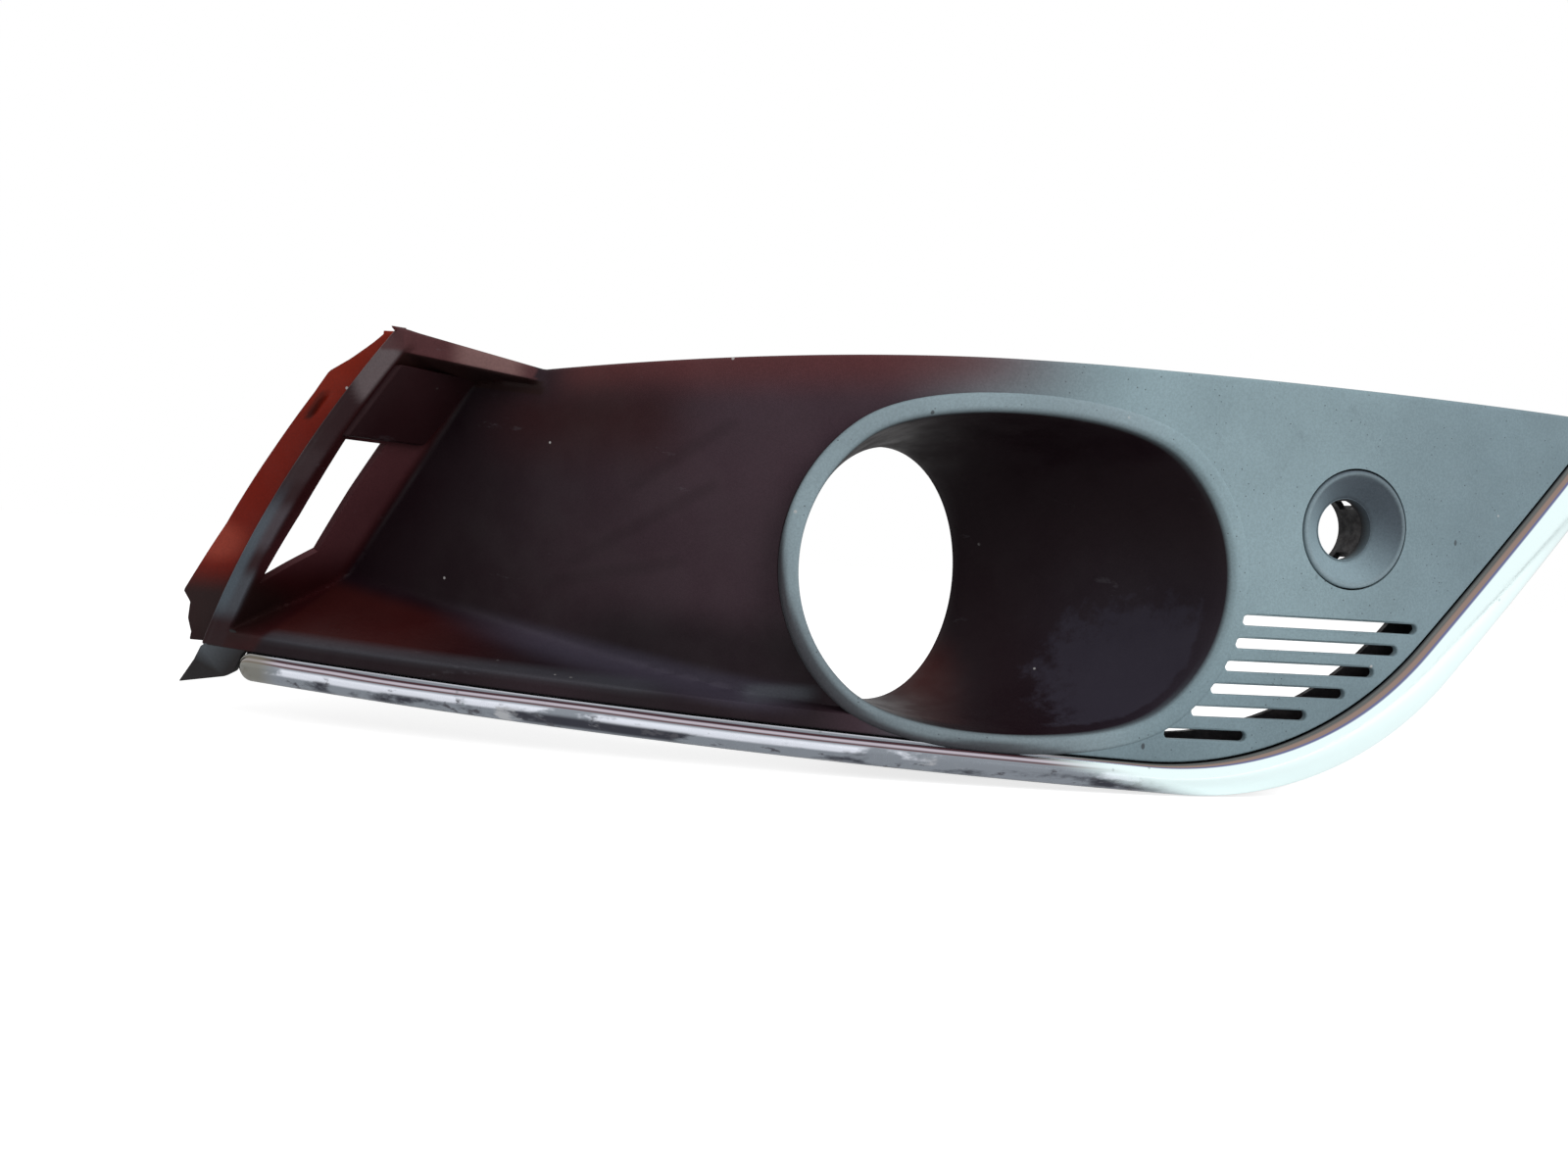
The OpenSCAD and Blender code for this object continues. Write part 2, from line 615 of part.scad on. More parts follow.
module bezel() {
    color(plastic) difference() {
        union() {
            difference() {
                sheet();
                bowl_cut();
                vent();
            }
            end_frame();
            window_pad();
            roof();
            foot();
            bowl();
            for (i = [0:len(boss_turn) - 1]) lamp_boss(i);
            sensor_seat();
            trim_seat();
            for (x = tab_x) clip_tab(x);
            for (p = backing_places) backing_boss(p);
        }
        air_window();
        lamp_bore();
        for (i = [0:len(boss_turn) - 1]) at_boss(i) translate([0, 0, -1])
            cylinder(h = insert_len + 2, d = insert_d);
        sensor_hole();
        pin_holes();
        for (p = backing_places) backing_hole(p);
    }
}

module trim() {
    color(bright) {
        face_layer(-trim_proud, trim_t - trim_proud) trim_band(trim_gap, 0);
        face_layer(trim_t - trim_proud - 0.5, trim_depth) difference() {
            trim_band(trim_gap, 0);
            trim_band(trim_gap + 1.8, 1.8, trim_left + 1.8, trim_top - 1.8);
        }
        for (i = [0:len(pin_stops) - 1]) on_face(pin_place(i)) rotate([-90, 0, 0])
            cylinder(h = trim_depth + pin_len, d = pin_d);
    }
}

// A dark strip behind the bend and the slanted side, which grips the bumper's painted edge
backing_t = 2.5;
backing_from = 62;
module trim_backing() {
    color(rubber) difference() {
        face_layer(backing_depth + 0.2, backing_depth + 0.2 + backing_t) intersection() {
            trim_band(-backing_w, 3, trim_left, trim_top - 4);
            difference() {
                translate([backing_from, -90]) square([220, 180]);
                translate(trim_middle(ear_stops[1]) - [ear_w + 2, ear_w / 2 + 4]) square([90, 90]);
            }
        }
        for (p = backing_places) on_face(p) rotate([-90, 0, 0])
            cylinder(h = 30, d = backing_screw_d + 0.6);
    }
}
module backing_screw(i) {
    color(steel) on_face(backing_places[i]) rotate([-90, 0, 0])
        translate([0, 0, backing_depth + backing_t + 0.4]) {
            difference() {
                cylinder(h = 2.4, d = backing_screw_d * 2.1);
                translate([0, 0, 1]) cylinder(h = 3, d = backing_screw_d * 0.9, $fn = 6);
            }
            translate([0, 0, -7]) cylinder(h = 7.5, d = backing_screw_d - 0.7);
        }
}

// ---- the sensor ring and its holder ----
ring_skirt = 2;
tube_t = 2;
module sensor_ring() {
    outer = sensor_ring_d / 2;
    bore = sensor_d / 2;
    color(plastic) on_face(sensor_place) rotate([-90, 0, 0]) rotate_extrude($fn = 96) polygon([
        [outer, 0], [outer - 0.4, -0.4], [outer - 1.6, -0.4], [bore, sensor_depth],
        [bore, sensor_depth + 4.5], [bore + tube_t, sensor_depth + 4.5],
        [bore + tube_t, sensor_depth + 1.2], [outer - ring_skirt - 2, 3],
        [outer - ring_skirt, 3], [outer - ring_skirt, ledge_at - 0.3], [outer, ledge_at - 0.3]]);
}
module sensor_holder() {
    bore = sensor_d / 2;
    from = ledge_at + wall + 0.2;
    arm_r = seat_r + wall + 0.3;
    color(rubber) on_face(sensor_place) rotate([-90, 0, 0]) difference() {
        union() {
            translate([0, 0, from]) cylinder(h = 2.2, r = arm_r + 2, $fn = 96);
            translate([0, 0, from]) cylinder(h = holder_len, r = bore + tube_t + 2.6, $fn = 96);
            for (a = [0, 180]) rotate([0, 0, a]) translate([arm_r, -5, wall + 1.2])
                cube([1.8, 10, from - wall]);
        }
        translate([0, 0, from - 2]) cylinder(h = holder_len + 4, r = bore + tube_t + 0.4, $fn = 96);
        for (a = [45:90:315]) rotate([0, 0, a]) translate([bore - 2, -2, from + 6])
            cube([12, 4, holder_len - 9]);
    }
}

// ---- fixings ----
module push_nut(i) {
    color(steel) on_face(pin_place(i)) rotate([-90, 0, 0]) translate([0, 0, seat_back + 0.1])
        difference() {
            union() {
                cylinder(h = steel_t, d = push_nut_d);
                cylinder(h = steel_t * 2.2, d = push_nut_d * 0.8);
            }
            translate([0, 0, -1]) cylinder(h = 9, d = pin_d + 0.1);
        }
}
module lamp_insert(i) {
    color(brass) at_boss(i) difference() {
        union() {
            translate([0, 0, -0.4]) cylinder(h = insert_len, d = insert_d - 0.1);
            translate([0, 0, -0.8]) cylinder(h = 0.7, d = insert_d + 2);
        }
        translate([0, 0, -2]) cylinder(h = insert_len + 4, d = insert_bore);
    }
}
// A spring clip pushed over a tab from behind
module edge_clip(x) {
    gap = tab_t + 2 * clip_gap;
    len = tab_len - 2;
    wide = tab_w - 3;
    top = top_edge(x) - wall + 0.2 + tab_t / 2;
    color(steel) translate([x, scoop_y(x) + return_depth + tab_len + clip_gap, top])
        rotate([90, 0, 90]) translate([0, 0, -wide / 2]) linear_extrude(wide) difference() {
            translate([-len, -gap / 2 - steel_t]) square([len + steel_t, gap + 2 * steel_t]);
            translate([-len - 1, -gap / 2]) square([len + 1, gap]);
        }
}
// A folded nut pushed over the ear's free edge, with a drawn collar for the screw
module screw_nut(i) {
    low = -1.6;
    wide = ear_w - 6;
    top = ear_top + clip_gap + steel_t;
    gap = wall + 2 * clip_gap;
    color(steel) at_ear(i) difference() {
        union() {
            translate([-wide / 2, ear_front - clip_gap - steel_t, low]) difference() {
                cube([wide, gap + 2 * steel_t, top - low]);
                translate([-1, steel_t, -1]) cube([wide + 2, gap, top - low + 1 - steel_t]);
            }
            translate([0, backing_depth + clip_gap + steel_t / 2, ear_up[i]]) rotate([-90, 0, 0])
                cylinder(h = collar_len, d = nut_bore + 3);
        }
        translate([0, 0, ear_up[i]]) rotate([-90, 0, 0]) cylinder(h = 40, d = nut_bore);
    }
}
collar_len = 4;

// Moves a finished piece from the face frame so that the lamp bore's centre is the origin
module to_lamp() { translate(-lamp_place) children(); }

to_lamp() bezel();
to_lamp() trim();
to_lamp() trim_backing();
to_lamp() sensor_ring();
to_lamp() sensor_holder();
for (i = [0:len(pin_stops) - 1])
    to_lamp() push_nut(i);
for (i = [0:len(boss_turn) - 1])
    to_lamp() lamp_insert(i);
for (i = [0:len(tab_x) - 1])
    to_lamp() edge_clip(tab_x[i]);
for (i = [0:len(backing_places) - 1])
    to_lamp() backing_screw(i);
for (i = [0, 1])
    to_lamp() screw_ear(i);
for (i = [0, 1])
    to_lamp() screw_nut(i);
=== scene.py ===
# %% [markdown]
# This lesson dresses a moulded fog lamp bezel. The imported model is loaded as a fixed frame, and
# every visible piece is then made in that same frame, in metres. The origin is the centre of
# the lamp bore, X runs along the bezel, Y into the car and Z up.

# %% Load the frame
import json
import math
import bpy
import numpy as np
from mathutils import Matrix, Vector
from mathutils.kdtree import KDTree


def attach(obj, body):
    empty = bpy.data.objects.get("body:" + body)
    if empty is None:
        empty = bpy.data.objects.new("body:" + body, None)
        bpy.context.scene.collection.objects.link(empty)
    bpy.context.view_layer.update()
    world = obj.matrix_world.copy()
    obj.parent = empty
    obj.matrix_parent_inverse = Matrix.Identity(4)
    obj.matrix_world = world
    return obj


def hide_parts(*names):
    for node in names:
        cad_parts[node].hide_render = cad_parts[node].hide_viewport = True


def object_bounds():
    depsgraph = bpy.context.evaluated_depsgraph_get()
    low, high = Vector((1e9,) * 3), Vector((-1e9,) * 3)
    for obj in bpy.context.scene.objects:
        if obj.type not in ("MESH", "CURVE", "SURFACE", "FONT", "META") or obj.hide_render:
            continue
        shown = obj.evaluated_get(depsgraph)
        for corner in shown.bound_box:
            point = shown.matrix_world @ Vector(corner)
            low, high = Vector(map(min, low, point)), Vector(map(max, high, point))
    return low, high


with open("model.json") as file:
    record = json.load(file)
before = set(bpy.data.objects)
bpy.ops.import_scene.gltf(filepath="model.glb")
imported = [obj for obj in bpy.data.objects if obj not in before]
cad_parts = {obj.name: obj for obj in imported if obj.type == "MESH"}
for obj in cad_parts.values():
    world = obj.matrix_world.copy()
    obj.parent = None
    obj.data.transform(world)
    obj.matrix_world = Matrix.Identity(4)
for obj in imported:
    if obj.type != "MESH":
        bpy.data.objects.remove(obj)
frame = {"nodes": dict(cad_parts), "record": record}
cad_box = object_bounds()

bpy.ops.object.select_all(action="DESELECT")
print("nodes", len(frame["nodes"]), "box", [tuple(round(v, 4) for v in c) for c in cad_box])

# %% [markdown]
# The camera comes first, because the lights are judged through it. It stands in front of the
# bezel, a little left of the lamp, and looks slightly down with a small tilt to one side.
# The tilt is made by turning the camera's right and up directions about its view.

# %% Camera
view_turn, view_drop, view_tilt = math.radians(3.55), math.radians(2.5), math.radians(3.9)
ahead_level = Vector((math.sin(view_turn), math.cos(view_turn), 0))
right_level = Vector((math.cos(view_turn), -math.sin(view_turn), 0))
ahead = ahead_level * math.cos(view_drop) - Vector((0, 0, 1)) * math.sin(view_drop)
above = Vector((0, 0, 1)) * math.cos(view_drop) + ahead_level * math.sin(view_drop)
right = right_level * math.cos(view_tilt) + above * math.sin(view_tilt)
up = above * math.cos(view_tilt) - right_level * math.sin(view_tilt)
bpy.ops.object.camera_add()
camera = bpy.context.object
camera.name = "camera"
camera.data.lens = 27.72
camera.data.sensor_width = 36
camera.data.clip_start = 0.01
stand = Matrix((right, up, -ahead)).transposed().to_4x4()
stand.translation = Vector((-0.0613, -0.4268, 0.0115))
camera.matrix_world = stand
bpy.context.scene.camera = camera
print("camera at", tuple(round(v, 3) for v in camera.location))

# %% [markdown]
# The face of the moulding is part of a wide upright cylinder. Sizes are in millimetres in a
# drawing frame whose zero is the front of the face at mid length, because the bezel's lines
# are easiest to write there. to_part moves drawn points to the lamp's centre, in metres.

# %% Sizes of the face
face_r, wall = 700.0, 2.5
top_z, top_fall, return_depth = 73.5, 9.5, 9.0
seat_fall, tip_angle, tip_x, corner_r = math.radians(2.5), math.radians(48.5), 236.5, 127.0
lip_h, edge_return, face_end = 6.0, 6.0, 226.0
bowl_r, bowl_run, bowl_x, bowl_z, bowl_lip, lip_proud = 52.0, 40.0, 15.0, 3.8, 6.5, 0.6
lamp_r, lamp_turn, lamp_x, lamp_y, bore_len = 45.0, math.radians(42), -24.0, 42.0, 3.0
seat_z0 = bowl_z - bowl_r - 4.0
to_lamp = np.array([-lamp_x, -lamp_y, 0.0])


def to_part(points):
    return (np.asarray(points, float) + to_lamp) * 0.001


def face_y(x):
    return face_r - np.sqrt(face_r * face_r - x * x)


def mix(a, b, t):
    return a + (b - a) * t


def part_of(x, low, high):
    return np.clip((x - low) / (high - low), 0, 1)


def soft_min(a, b, k):
    k = np.maximum(k, 1e-6)
    near = np.maximum(k - np.abs(a - b), 0) / k
    return np.minimum(a, b) - near * near * k / 4


def soft_max(a, b, k):
    return -soft_min(-a, -b, k)


print("face falls back", round(float(face_y(face_end)), 1), "mm at its inner end")

# %% [markdown]
# The lower edge that the bright trim follows is a straight foot, a bend and a slanted side.
# The scoop falls away from the face to the left, down to a slanted crease, where an end wall
# comes forward again to the rim. Each of these lines is one small function of x or z.

# %% Edge line
tip_slope, foot_slope = math.tan(tip_angle), math.tan(seat_fall)
corner_x = (seat_z0 - top_z + tip_slope * tip_x) / (tip_slope + foot_slope)
corner_z = seat_z0 - foot_slope * corner_x
corner_run = corner_r * math.tan((seat_fall + tip_angle) / 2)
corner = np.array([corner_x, corner_z])
bend_from = corner + corner_run * np.array([-math.cos(seat_fall), math.sin(seat_fall)])
bend_to = corner + corner_run * np.array([math.cos(tip_angle), math.sin(tip_angle)])
bend_mid = bend_from + corner_r * np.array([math.sin(seat_fall), math.cos(seat_fall)])


def edge_z(x):
    bent = bend_mid[1] - np.sqrt(np.maximum(corner_r ** 2 - (x - bend_mid[0]) ** 2, 0))
    slant = top_z - tip_slope * (tip_x - x)
    return np.where(x < bend_from[0], seat_z0 - foot_slope * x, np.where(x < bend_to[0], bent, slant))


def top_edge(x):
    return top_z - top_fall * (np.maximum(0, 50 - np.maximum(x, -148)) / 198) ** 2


print("bend from", bend_from.round(1), "to", bend_to.round(1))

# %% [markdown]
# The scoop is the deep channel that leads air in from the left. Its floor could be drawn as a
# spline, but a cubic in x is enough: it leaves the face gently and eases off at its end.
# The rim, the crease and the roof are lines in the same way, so every later cell can ask them
# for a place instead of keeping points of its own.

# %% Scoop lines
scoop_depth, scoop_start, scoop_end = 45.0, 10.0, -200.0
ledge_rise, ledge_start, ledge_run, ledge_low = 18.0, -68.0, 158.0, 1.0
rim_top, rim_foot, rim_w = (-194.5, 72.0), (-262.6, -40.0), 9.0
rim_fall = rim_top[1] - rim_foot[1]
rim_bow = 5.5 * math.hypot(rim_top[0] - rim_foot[0], rim_fall) / rim_fall
crease_top, crease_slope = (-176.0, 57.5), 0.664
roof_left, roof_right, roof_h, roof_low = -194.5, -148.0, 8.0, 4.5


def scoop(x):
    t = np.maximum(0, (scoop_start - x) / (scoop_start - scoop_end))
    return scoop_depth * t * t * (2 - t)


def scoop_y(x):
    return face_y(x) + scoop(x)


def lip_z(x):
    low = edge_z(x)
    return low + np.minimum(lip_h, (top_edge(x) - low) * 0.45)


def ledge_z(x):
    return lip_z(x) + mix(ledge_low, ledge_rise, part_of(-x, -ledge_start, ledge_run - ledge_start) ** 1.2)


def rim_x(z):
    u = (rim_top[1] - z) / rim_fall
    return mix(rim_top[0], rim_foot[0], u) - rim_bow * 4 * u * (1 - u)


def rim_in_x(z):
    return rim_x(z) + np.minimum(rim_w, 3 + rim_top[1] - z)


def crease_x(z):
    return crease_top[0] - crease_slope * (crease_top[1] - z)


def top_line(x):
    roof = mix(64.0, rim_top[1], part_of(-x, -roof_right, -roof_left))
    return np.where(x > roof_right, top_edge(x), roof)


def roof_line(x):
    return top_line(x) - mix(roof_low, roof_h, part_of(-x, -roof_right, -roof_left))


print("scoop is", round(float(scoop(-224.0)), 1), "mm deep at the foot of the crease")

# %% [markdown]
# The whole front skin is one height field: at each x and z, its depth is the least of the
# scoop's floor, the ledge, the end wall and the underside of the roof, and never in front of
# the face. Soft minimum and maximum round the corners where two of these surfaces meet, which
# gives the moulding its fillets without any edge having to be bevelled afterwards.

# %% Depth of the front skin
def front_depth(x, z):
    face, floor = face_y(x), scoop_y(x)
    deep = scoop(x)
    low, high = lip_z(x), ledge_z(x)
    ledge = face + (z - low) / (high - low) * deep
    cavity = soft_min(floor, ledge, np.minimum(16, 0.42 * deep))
    rim_at, crease_at = rim_in_x(z), crease_x(z)
    rise = (scoop_y(crease_at) - face_y(rim_at)) / (crease_at - rim_at)
    end_wall = face_y(rim_at) + (x - rim_at) * rise
    cavity = soft_min(cavity, end_wall, 5.0)
    roof_y = mix(scoop_y(roof_right), face_y(roof_left), part_of(-x, -roof_right, -roof_left))
    roof_y = np.where(x < roof_left, face, roof_y)
    under = roof_line(x)
    back = np.minimum(top_edge(x) - 0.23 * np.maximum(0, roof_right - x), under - 1.5)
    roof = roof_y + (under - z) / (under - back) * (floor - roof_y)
    roof = soft_max(roof, roof_y, 1.2)
    cavity = np.where(x < roof_right, soft_min(cavity, roof, 1.5), cavity)
    edge = np.where(x < scoop_start, np.minimum(2.4, 0.2 * deep), 0)
    return soft_max(face, cavity, edge)


for x, z in ((-150.0, 10.0), (-220.0, 0.0), (60.0, 0.0)):
    print("depth at", x, z, "is", round(float(front_depth(np.array(x), np.array(z)) - face_y(x)), 1))

# %% [markdown]
# A grid primitive carries each shaped surface. Its points are sorted into rows and columns by
# the place the primitive gave them, and are then put where the drawing says. Doubled points
# are merged, so a grid can also be closed into a tube or a dome.

# %% Grid helper
def shaped_grid(name, points, around=False, along=False):
    points = np.asarray(points, float)
    if around:
        points = np.concatenate([points, points[:, :1]], axis=1)
    if along:
        points = np.concatenate([points, points[:1]], axis=0)
    rows, columns = points.shape[:2]
    bpy.ops.mesh.primitive_grid_add(x_subdivisions=columns - 1, y_subdivisions=rows - 1, size=2)
    piece = bpy.context.object
    piece.name = piece.data.name = name
    flat = np.empty(rows * columns * 3)
    piece.data.vertices.foreach_get("co", flat)
    flat = flat.reshape(-1, 3)
    column = np.rint((flat[:, 0] + 1) / 2 * (columns - 1)).astype(int)
    row = np.rint((flat[:, 1] + 1) / 2 * (rows - 1)).astype(int)
    piece.data.vertices.foreach_set("co", to_part(points[row, column]).ravel())
    merge_doubles(piece)
    return piece


def edit(piece):
    bpy.ops.object.select_all(action="DESELECT")
    piece.select_set(True)
    bpy.context.view_layer.objects.active = piece
    bpy.ops.object.mode_set(mode="EDIT")
    bpy.ops.mesh.select_all(action="SELECT")


def merge_doubles(piece, outward=False):
    edit(piece)
    bpy.ops.mesh.remove_doubles(threshold=0.00002)
    if outward:
        bpy.ops.mesh.normals_make_consistent(inside=False)
    bpy.ops.object.mode_set(mode="OBJECT")


def add_modifier(piece, kind, **values):
    bpy.ops.object.select_all(action="DESELECT")
    piece.select_set(True)
    bpy.context.view_layer.objects.active = piece
    made = piece.modifiers.new(kind.lower(), kind)
    for key, value in values.items():
        setattr(made, key, value)
    bpy.ops.object.modifier_apply(modifier=made.name)


def smooth(piece, angle=35):
    bpy.ops.object.select_all(action="DESELECT")
    piece.select_set(True)
    bpy.context.view_layer.objects.active = piece
    bpy.ops.object.shade_smooth_by_angle(angle=math.radians(angle))


def drawn(piece):
    """A piece's vertices in the drawing frame, in millimetres."""
    flat = np.empty(len(piece.data.vertices) * 3)
    piece.data.vertices.foreach_get("co", flat)
    return flat.reshape(-1, 3) * 1000 - to_lamp


def triangles(piece):
    return sum(len(face.vertices) - 2 for face in piece.data.polygons)


print("grid helper ready")

# %% [markdown]
# The rows of the skin follow the lower edge, the lip line, the roof's lower line and the top
# edge, and its last columns lean with the rim, so that every crisp line of the moulding runs
# along a row or a column. Beyond the rim the columns turn back along its side and out again
# along the flange, which is hidden behind the bumper on the car.

# %% Rows and columns
def spread(*stops):
    return np.concatenate([np.linspace(a, b, n, endpoint=False) for a, b, n in stops])


lip_rows = np.array([0.12, 0.4, 0.7, 0.86])
lip_corner = np.array([-1.0, -0.5, -0.2, 0.1, 0.4, 0.8, 1.3])
floor_rows = spread((0.018, 0.20, 18), (0.20, 0.93, 52), (0.93, 0.985, 6))
roof_corner = np.array([-1.4, -0.8, -0.4, -0.1, 0.2, 0.6, 1.1])
roof_rows = np.array([0.3, 0.55, 0.8])


def row_levels(x):
    edge, lip, under, top = edge_z(x), lip_z(x), roof_line(x), top_line(x) - 1.2
    edge = edge + 0.8
    share = np.minimum(1, (top - edge) / 14)
    groups = [edge[None], mix(edge, lip, lip_rows[:, None]), lip + lip_corner[:, None] * share,
        mix(lip, under, floor_rows[:, None]), under + roof_corner[:, None] * share,
        mix(under, top, roof_rows[:, None]), top[None]]
    return np.sort(np.concatenate(groups), axis=0)


across_face = spread((face_end, 20, 52), (20, -100, 44))
across_scoop = spread((0, 0.55, 40), (0.55, 0.97, 50), (0.97, 1, 8))
across_rim = spread((0, 0.2, 5), (0.2, 0.84, 5))
rows_n = len(row_levels(np.array([0.0])))
print("rows", rows_n, "columns", len(across_face) + len(across_scoop) + len(across_rim))

# %% [markdown]
# Rows of even height would cross the slanted rim and crease as a staircase. Here each column
# in the scoop leans: its x depends on z, and z depends on the row levels at that x. A few rounds
# of working out one from the other settle both.

# %% Points of the front skin
def leaning(x_of_z):
    z = row_levels(np.array([float(x_of_z(10.0))]))[:, 0]
    for _ in range(14):
        z = np.diagonal(row_levels(x_of_z(z)))
    return x_of_z(z), z


columns = []
for x in across_face:
    z = row_levels(np.array([x]))[:, 0]
    columns.append((np.full(rows_n, x), z))
for f in across_scoop:
    columns.append(leaning(lambda z, f=f: mix(-100.0, rim_in_x(z), f)))
for f in across_rim:
    columns.append(leaning(lambda z, f=f: mix(rim_in_x(z), rim_x(z), f)))
grid_x = np.array([c[0] for c in columns]).T
grid_z = np.array([c[1] for c in columns]).T
grid_y = front_depth(grid_x, grid_z)
skin = np.stack([grid_x, grid_y, grid_z], axis=2)
print("skin grid", skin.shape)

# %% [markdown]
# The moulding doesn't stop at the rim. It turns back, runs a little way into the car and out
# again as a flange that lies behind the bumper. It could be a piece of its own, but added
# columns on the same grid leave no seam at the rim. A short groove is moulded into the flange,
# so it is a dip in these columns.

# %% Flange beyond the rim
flange_levels = [-45, -38, -33, -27, -23, -15, 2, 30, 50, 57.5, 62, 67, 70.5]
flange_widths = [0.4, 0.46, 0.65, 0.75, 1, 0.93, 0.8, 0.76, 0.75, 0.78, 0.55, 0.38, 0.3]
flange_w, flange_back, rim_round = 19.0, 10.0, 1.4
groove_out, groove_z, groove_deep = 9.1, 45.6, 1.4


def flange_out(z):
    return 1 + (flange_w - 1) * np.interp(z, flange_levels, flange_widths)


rim_z = leaning(rim_x)[1]
rim_at, front = rim_x(rim_z), face_y(rim_x(rim_z))
out = flange_out(rim_z)
beyond = []
for turn in np.radians([0, 22, 45, 67, 90]):
    beyond.append((rim_at + rim_round * (1 - np.sin(turn)), front + rim_round * (1 - np.cos(turn))))
for back in (4.0, 6.5, 8.6):
    beyond.append((rim_at, front + back))
for turn in np.radians([30, 60, 90]):
    inset = rim_round * (1 - np.sin(turn))
    beyond.append((rim_at - rim_round * (1 - np.cos(turn)), front + flange_back - inset))
for f in (0.2, 0.36, 0.48, 0.54, 0.60, 0.66, 0.72, 0.78, 0.89, 1.0):
    reach = mix(rim_round, out, f)
    groove = np.clip(1 - np.abs(reach - groove_out) / 1.5, 0, 1)
    groove = groove * np.clip(4.6 - np.abs(rim_z - groove_z), 0, 1)
    beyond.append((rim_at - reach, front + flange_back + 0.3 * (reach - rim_round) + groove_deep * groove))
beyond = np.stack([np.stack([x, y, rim_z], axis=1) for x, y in beyond], axis=1)
skin = np.concatenate([skin, beyond], axis=1)
print("with flange", skin.shape)

# %% [markdown]
# Along the top and the lower edge the wall turns back, as moulded panels do, to stiffen them
# and to hide the cut edge. These are added rows at both ends of the grid. At the flange they
# get shallower, because the flange already lies further back.

# %% Returns along the top and the lower edge
beyond_n = beyond.shape[1]
depth_left = np.ones(skin.shape[1])
depth_left[-beyond_n:] = np.linspace(1, 0.3, beyond_n)


def turned_back(row, up, radius, depth):
    rings = []
    for turn in np.radians([25, 50, 70, 90]):
        rings.append(row + np.stack([0 * depth_left, radius * (1 - np.cos(turn)) * depth_left,
            up * radius * np.sin(turn) * np.ones_like(depth_left)], axis=1))
    for f in (0.25, 0.6, 1.0):
        rings.append(rings[3] + np.outer(depth_left, [0, (depth - radius) * f, 0]))
    return np.array(rings)


top_rings = turned_back(skin[-1], 1, 1.2, return_depth)
low_rings = turned_back(skin[0], -1, 0.8, edge_return)
skin = np.concatenate([low_rings[::-1], skin, top_rings], axis=0)
skin = skin[:, ::-1]
front_skin = shaped_grid("front_skin", skin)
print("front skin", triangles(front_skin), "triangles before its wall")

# %% [markdown]
# The skin gets its wall from Solidify, set to grow backwards only, so the front stays where
# the frame has it. The openings are then cut right through in one boolean: the lamp bowl's
# opening, the vent slots, the sensor's seat and the air window in the end wall.

# %% Wall and cutters
def prism(name, outline, y_from=-30.0, y_to=110.0):
    outline = np.asarray(outline, float)
    rings = [[(x, y, z) for x, z in outline] for y in (y_from, y_to)]
    middle = outline.mean(axis=0)
    caps = [[(middle[0], y, middle[1])] * len(outline) for y in (y_from, y_to)]
    piece = shaped_grid(name, [caps[0], rings[0], rings[1], caps[1]], around=True)
    merge_doubles(piece, outward=True)
    return piece


def bowl_rim(a, grow):
    lean, r = np.sin(np.pi / 2 * np.clip(1.6 * np.cos(a), -1, 1)), bowl_r + grow
    return bowl_x + r * np.cos(a) + bowl_run / 2 * lean, bowl_z + r * np.sin(a)


turns = np.linspace(0, 2 * np.pi, 96, endpoint=False)
cutters = [prism("bowl_cutter", np.stack(bowl_rim(turns, 1.5), axis=1))]
print("skin before it is cut", triangles(front_skin), "triangles")

# %% [markdown]
# Six slots let air through the inner panel. Each has round ends and is as long as the room
# between the bowl and the trim allows, so its ends are worked out from those two lines. The
# cutters are a little wider than the slots, which leaves room for rounded edges.

# %% Slots
slot_h, slot_pitch, slot_z, slot_gap, slot_margin, slot_round = 3.5, 7.8, -6.3, 8.0, 6.0, 0.7


def slot_ends(z):
    left = bowl_x + bowl_run / 2 + math.sqrt((bowl_r + slot_gap) ** 2 - (z - bowl_z) ** 2)
    inner = corner_r - slot_margin
    side = tip_x - (top_z - z) / tip_slope - slot_margin / math.sin(tip_angle)
    if z <= bend_mid[1] - inner * math.cos(tip_angle):
        side = bend_mid[0] + math.sqrt(inner ** 2 - (z - bend_mid[1]) ** 2)
    return left, side


half = np.linspace(-np.pi / 2, np.pi / 2, 13)
slot_levels = [slot_z - i * slot_pitch for i in range(6)]


def slot_outline(z, r):
    left, side = slot_ends(z)
    outline = [(side + r * math.cos(a), z + r * math.sin(a)) for a in half]
    return outline + [(left - r * math.cos(a), z - r * math.sin(a)) for a in half]


for z in slot_levels:
    cutters.append(prism("slot_cutter", slot_outline(z, slot_h / 2 + slot_round)))
print("slots from", round(slot_ends(slot_z)[0]), "to", round(slot_ends(slot_z)[1]), "mm")

# %% [markdown]
# The sensor's seat is round about the face's normal at that place, so its cutter is turned on
# a lathe there. The air window lies in the sloping end wall and has a slanted foot, so its
# cutter is drawn in that wall's own directions.

# %% Sensor seat and air window
sensor_at, sensor_ring_r, sensor_r, sensor_depth, sensor_gap = (131.5, 26.5), 20.0, 10.5, 5.5, 0.6
seat_r, ledge_at = sensor_ring_r + sensor_gap, sensor_depth + 0.3


def on_face(x, z):
    """Turns points drawn about a place on the face, Y out of its back, into the drawing frame."""
    turn = math.asin(x / face_r)
    axes = np.array([[math.cos(turn), math.sin(turn), 0], [-math.sin(turn), math.cos(turn), 0], [0, 0, 1]])
    return lambda points: np.asarray(points, float) @ axes + np.array([x, float(face_y(x)), z])


def lathe(name, profile, place, steps=96):
    """A ring of (radius, depth) points turned about a place's axis."""
    around = np.linspace(0, 2 * np.pi, steps, endpoint=False)
    rings = [place([(r * math.cos(a), y, r * math.sin(a)) for a in around]) for r, y in profile]
    return shaped_grid(name, rings, around=True)


